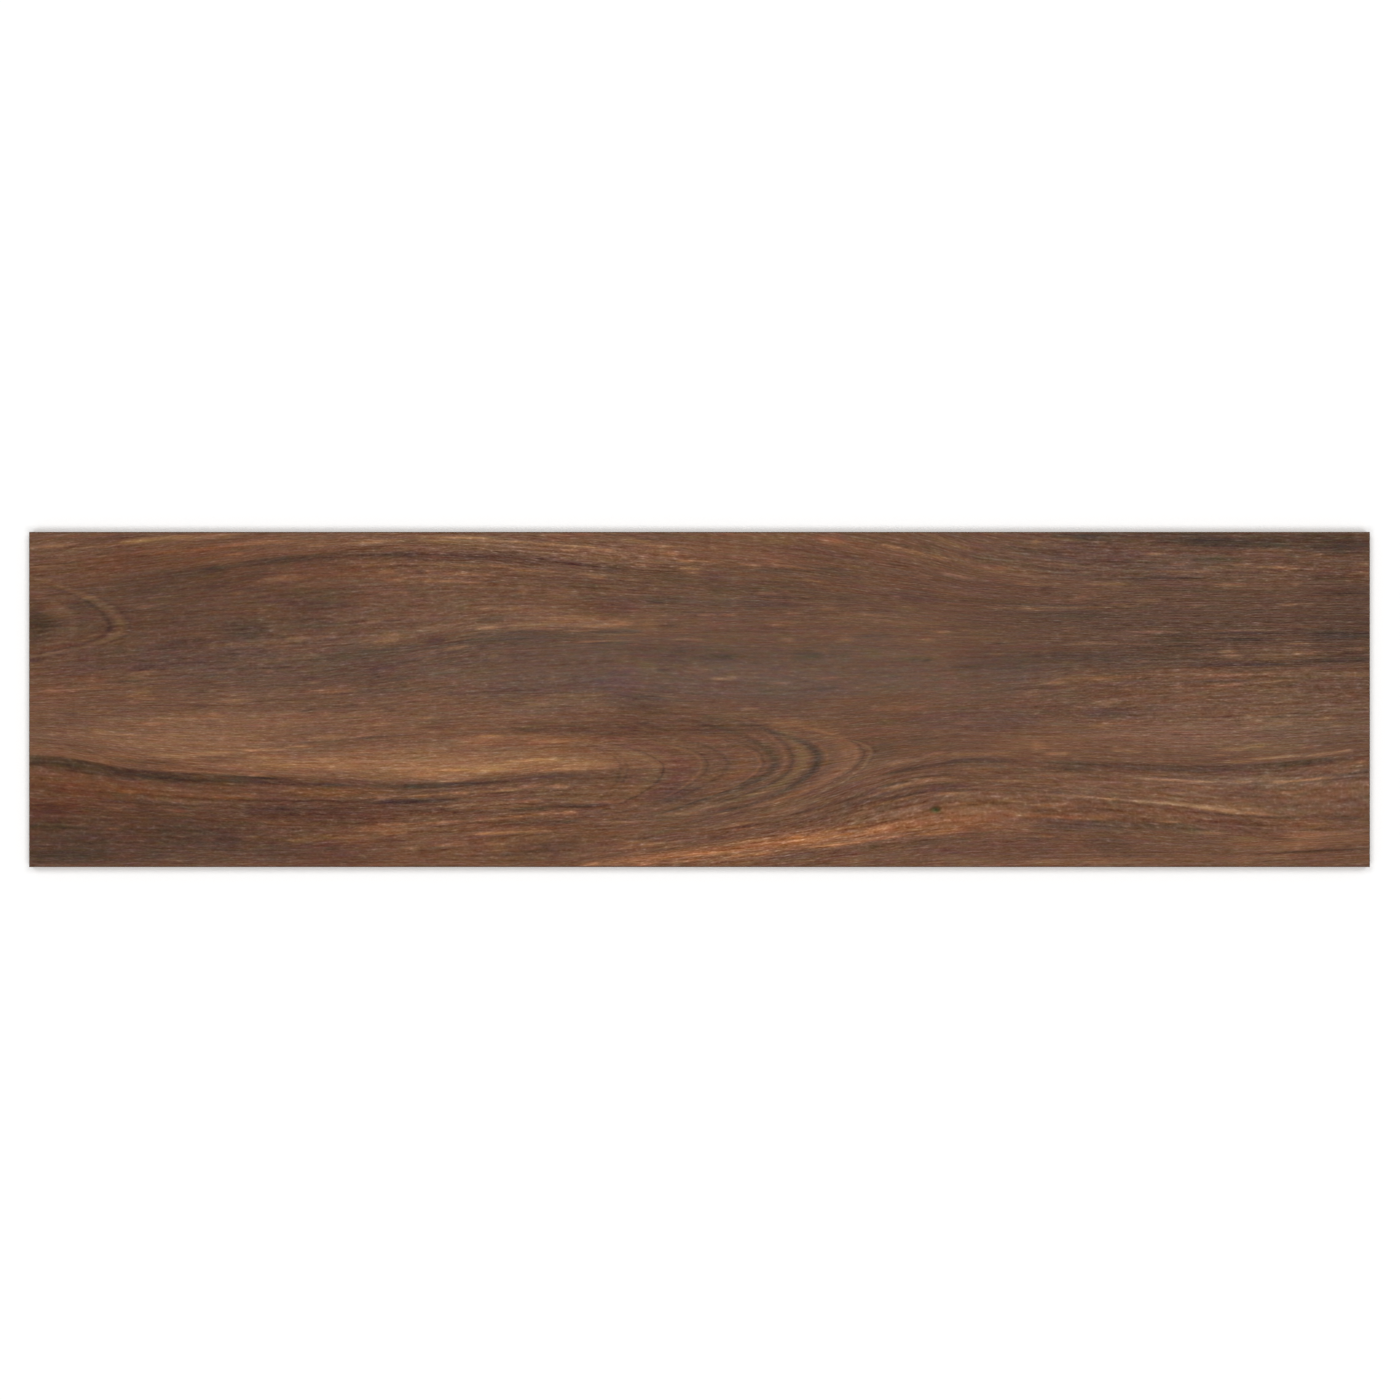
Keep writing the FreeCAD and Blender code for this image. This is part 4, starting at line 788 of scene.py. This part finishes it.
def starker(texture):
    """A noise with rarer and stronger peaks: half of it, and more of it the further it is from nought, most
    of all on its light side."""
    size = texture.maths("ABSOLUTE", texture)
    return texture * (0.5 + 4.5 * size) + 2 * texture * texture


def ring_bands(table, nest):
    """How much lighter, warmer and greener the rings of one nest make each point. A ring's tip lies ahead
    of the point by the square of its distance from the axis over the ring's bluntness on that side."""
    off = attribute(tree, f"{nest}_off")
    spread = attribute(tree, f"{nest}_spread")
    fade = attribute(tree, f"{nest}_fade")
    above = off.maths("MAXIMUM", off, 0) ** 2
    below = off.maths("MINIMUM", off, 0) ** 2
    sums = [0, 0, 0]
    for at, blunt_above, blunt_below, half, *shades in table:
        ahead = place_x + wander + above * (1 / blunt_above) + below * (1 / blunt_below) - at
        band = bell(ahead / (half * spread)) * fade
        sums = [total + shade * band if shade else total for total, shade in zip(sums, shades)]
    return sums


# Every part of the grain has its length, width, detail and seed, and its strength is in steps of a display.
# The rings wander along the plank by some mm.
wander = grain(22, 3, 1, 5.0) * 3
ring_light, ring_warm, ring_green = ring_bands(RINGS, "ring")
small_light, small_warm, small_green = ring_bands(SMALL_RINGS, "small")
dashes = grain(6, 0.95, 2, 1.0)
threads = grain(45, 1.3, 1, 2.0)
strands = grain(14, 2.2, 1, 3.0)
clouds = grain(60, 9, 1, 4.0)
flecks = grain(1.6, 0.65, 0, 10.0)
greens = grain(9, 1.6, 1, 6.0) * 11 + grain(30, 5, 1, 7.0) * 8
warms = grain(7, 1.2, 1, 8.0) * 18 + grain(35, 4, 1, 9.0) * 14
dash_depth = 51
fleck_depth = 13
thread_depth = 34
strand_depth = 18
cloud_depth = 10
fine = starker(dashes) * dash_depth + starker(flecks) * fleck_depth
fine = fine + threads * thread_depth + strands * strand_depth

# One small dark green knot.
knot_x = 141
knot_y = -66
knot_half_length = 2.9
knot_half_width = 1.8
knot_depth = 46
knot_green = 16
knot = ((place_x - knot_x) / knot_half_length) ** 2 + ((place_y - knot_y) / knot_half_width) ** 2
knot = knot.maths("EXPONENT", -1 * knot)

light = attribute(tree, "lighter") + ring_light + small_light + clouds * cloud_depth - knot * knot_depth
warm = attribute(tree, "warmer") + ring_warm + small_warm + warms
green = attribute(tree, "greener") + ring_green + small_green + greens + knot * knot_green
colour = Shade.add(tree, "ShaderNodeCombineColor", {}, {0: WOOD[0], 1: WOOD[1], 2: WOOD[2]})
colour = colour.tinted(LIGHTER, light).tinted(WARMER, warm).tinted(GREENER, green)
colour = colour.tinted(GREY, fine * attribute(tree, "lively"))
colour = Shade.add(tree, "ShaderNodeGamma", {}, {"Color": colour, "Gamma": 2.2})
colour = Shade.add(tree, "ShaderNodeVectorMath", {"operation": "MULTIPLY_ADD"},
                   {0: colour, 1: (1 / LEVEL,) * 3, 2: (-SHEEN,) * 3})
bump = Shade.add(tree, "ShaderNodeBump", {}, {
    "Height": dashes + threads, "Strength": 0.35, "Distance": 0.1 * MM,
})
surface = Shade.add(tree, "ShaderNodeBsdfPrincipled", {}, {
    "Base Color": colour, "Roughness": 0.55 + strands * 0.3, "Specular IOR Level": 0.2, "Normal": bump,
})
Shade.add(tree, "ShaderNodeOutputMaterial", {}, {"Surface": surface})
mesh.materials.append(glaze)

# The fired body is the same brown grey right through, with darker specks. Its edges carry the fine lines of
# the grinding under the glaze's thin dark line, and its back the pale wash that keeps it off the kiln's
# rollers.
BODY = (134 * STEP, 117 * STEP, 101 * STEP)
WASH = (0.78, 0.76, 0.72, 1)
GLAZE_EDGE = (0.36, 0.28, 0.22, 1)
wash_cover = 0.6
ground_depth = 26
mottle_depth = 30
speck_depth = 34
body, tree = new_material("fired_body")
place = Shade.add(tree, "ShaderNodeTexCoord", {}, {}, "Object")


def stretched(size_x, size_y, size_z, detail):
    """Noise on the plank whose bumps have these sizes in mm."""
    scaled = Shade.add(tree, "ShaderNodeVectorMath", {"operation": "MULTIPLY"},
                       {0: place, 1: (1 / size_x / MM, 1 / size_y / MM, 1 / size_z / MM)})
    return noise(tree, scaled, detail)


place_z = Shade.add(tree, "ShaderNodeSeparateXYZ", {}, {"Vector": place}, "Z") / MM
specks = Shade.add(tree, "ShaderNodeMapRange", {}, {"Value": stretched(0.7, 0.7, 0.7, 1), 1: 0.16, 2: 0.24})
ground = stretched(60, 60, 0.12, 2)
mottle = stretched(2, 2, 2, 4)
wash = Shade.add(tree, "ShaderNodeMapRange", {}, {
    "Value": place_z + stretched(3, 3, 3, 3) * 0.3, 1: 0.12, 2: 0.02,
})
line = Shade.add(tree, "ShaderNodeMapRange", {}, {
    "Value": place_z, 1: thickness - bevel - 0.05, 2: thickness - bevel,
})
colour = Shade.add(tree, "ShaderNodeCombineColor", {}, {0: BODY[0], 1: BODY[1], 2: BODY[2]})
colour = colour.tinted(GREY, ground * ground_depth + mottle * mottle_depth - specks * speck_depth)
colour = Shade.add(tree, "ShaderNodeMix", {"data_type": "RGBA"},
                   {"Factor": wash * wash_cover, 6: colour, 7: WASH}, 2)
colour = Shade.add(tree, "ShaderNodeMix", {"data_type": "RGBA"},
                   {"Factor": line, 6: colour, 7: GLAZE_EDGE}, 2)
colour = Shade.add(tree, "ShaderNodeGamma", {}, {"Color": colour, "Gamma": 2.2})
bump = Shade.add(tree, "ShaderNodeBump", {}, {
    "Height": ground + stretched(0.8, 0.8, 0.8, 3), "Strength": 0.3, "Distance": 0.1 * MM,
})
surface = Shade.add(tree, "ShaderNodeBsdfPrincipled", {}, {
    "Base Color": colour, "Roughness": 0.8, "Specular IOR Level": 0.3, "Normal": bump,
})
Shade.add(tree, "ShaderNodeOutputMaterial", {}, {"Surface": surface})
mesh.materials.append(body)

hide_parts("plank_tile")
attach(plank, "root")

# The floor is a plain white board that the plank lies on, and is there only for the picture. The light comes
# evenly from four sides and from a dim white sky.
floor_mesh = bpy.data.meshes.new("floor")
floor_half = 4
floor_drop = 0.0002
floor_signs = ((-1, -1), (1, -1), (1, 1), (-1, 1))
floor_corners = [(sx * floor_half, sy * floor_half, -floor_drop) for sx, sy in floor_signs]
floor_mesh.from_pydata(floor_corners, [], [(0, 1, 2, 3)])
floor = bpy.data.objects.new("floor", floor_mesh)
bpy.context.collection.objects.link(floor)
white, tree = new_material("white_board")
surface = Shade.add(tree, "ShaderNodeBsdfDiffuse", {}, {"Color": (1, 1, 1, 1)})
Shade.add(tree, "ShaderNodeOutputMaterial", {}, {"Surface": surface})
floor_mesh.materials.append(white)

sky_strength = 0.35
lamp_tilt = math.radians(25)
lamp_width = math.radians(20)
lamp_count = 4
lamp_strength = (LEVEL - sky_strength) * math.pi / (lamp_count * math.cos(lamp_tilt))
for number in range(lamp_count):
    lamp_data = bpy.data.lights.new(f"lamp_{number}", "SUN")
    lamp_data.energy = lamp_strength
    lamp_data.angle = lamp_width
    lamp = bpy.data.objects.new(f"lamp_{number}", lamp_data)
    lamp.rotation_euler = (lamp_tilt, 0, math.radians(45 + 90 * number))
    bpy.context.collection.objects.link(lamp)

world = bpy.data.worlds.new("sky")
bpy.context.scene.world = world
world.use_nodes = True
tree = world.node_tree
tree.nodes.clear()
seen = Shade.add(tree, "ShaderNodeLightPath", {}, {}, "Is Camera Ray")
sky = Shade.add(tree, "ShaderNodeBackground", {}, {
    "Color": (1, 1, 1, 1), "Strength": sky_strength + seen * (1 - sky_strength),
})
Shade.add(tree, "ShaderNodeOutputWorld", {}, {"Surface": sky})

# The camera hangs straight above the plank, a hair off its middle.
camera_height = 2.32
camera_shift = 0.0003
camera_data = bpy.data.cameras.new("camera")
camera_data.lens = 100
camera_data.sensor_width = 36
camera = bpy.data.objects.new("camera", camera_data)
camera.location = (camera_shift, -camera_shift, thickness * MM + camera_height)
bpy.context.collection.objects.link(camera)
bpy.context.scene.camera = camera
bpy.context.scene.view_settings.view_transform = "Standard"
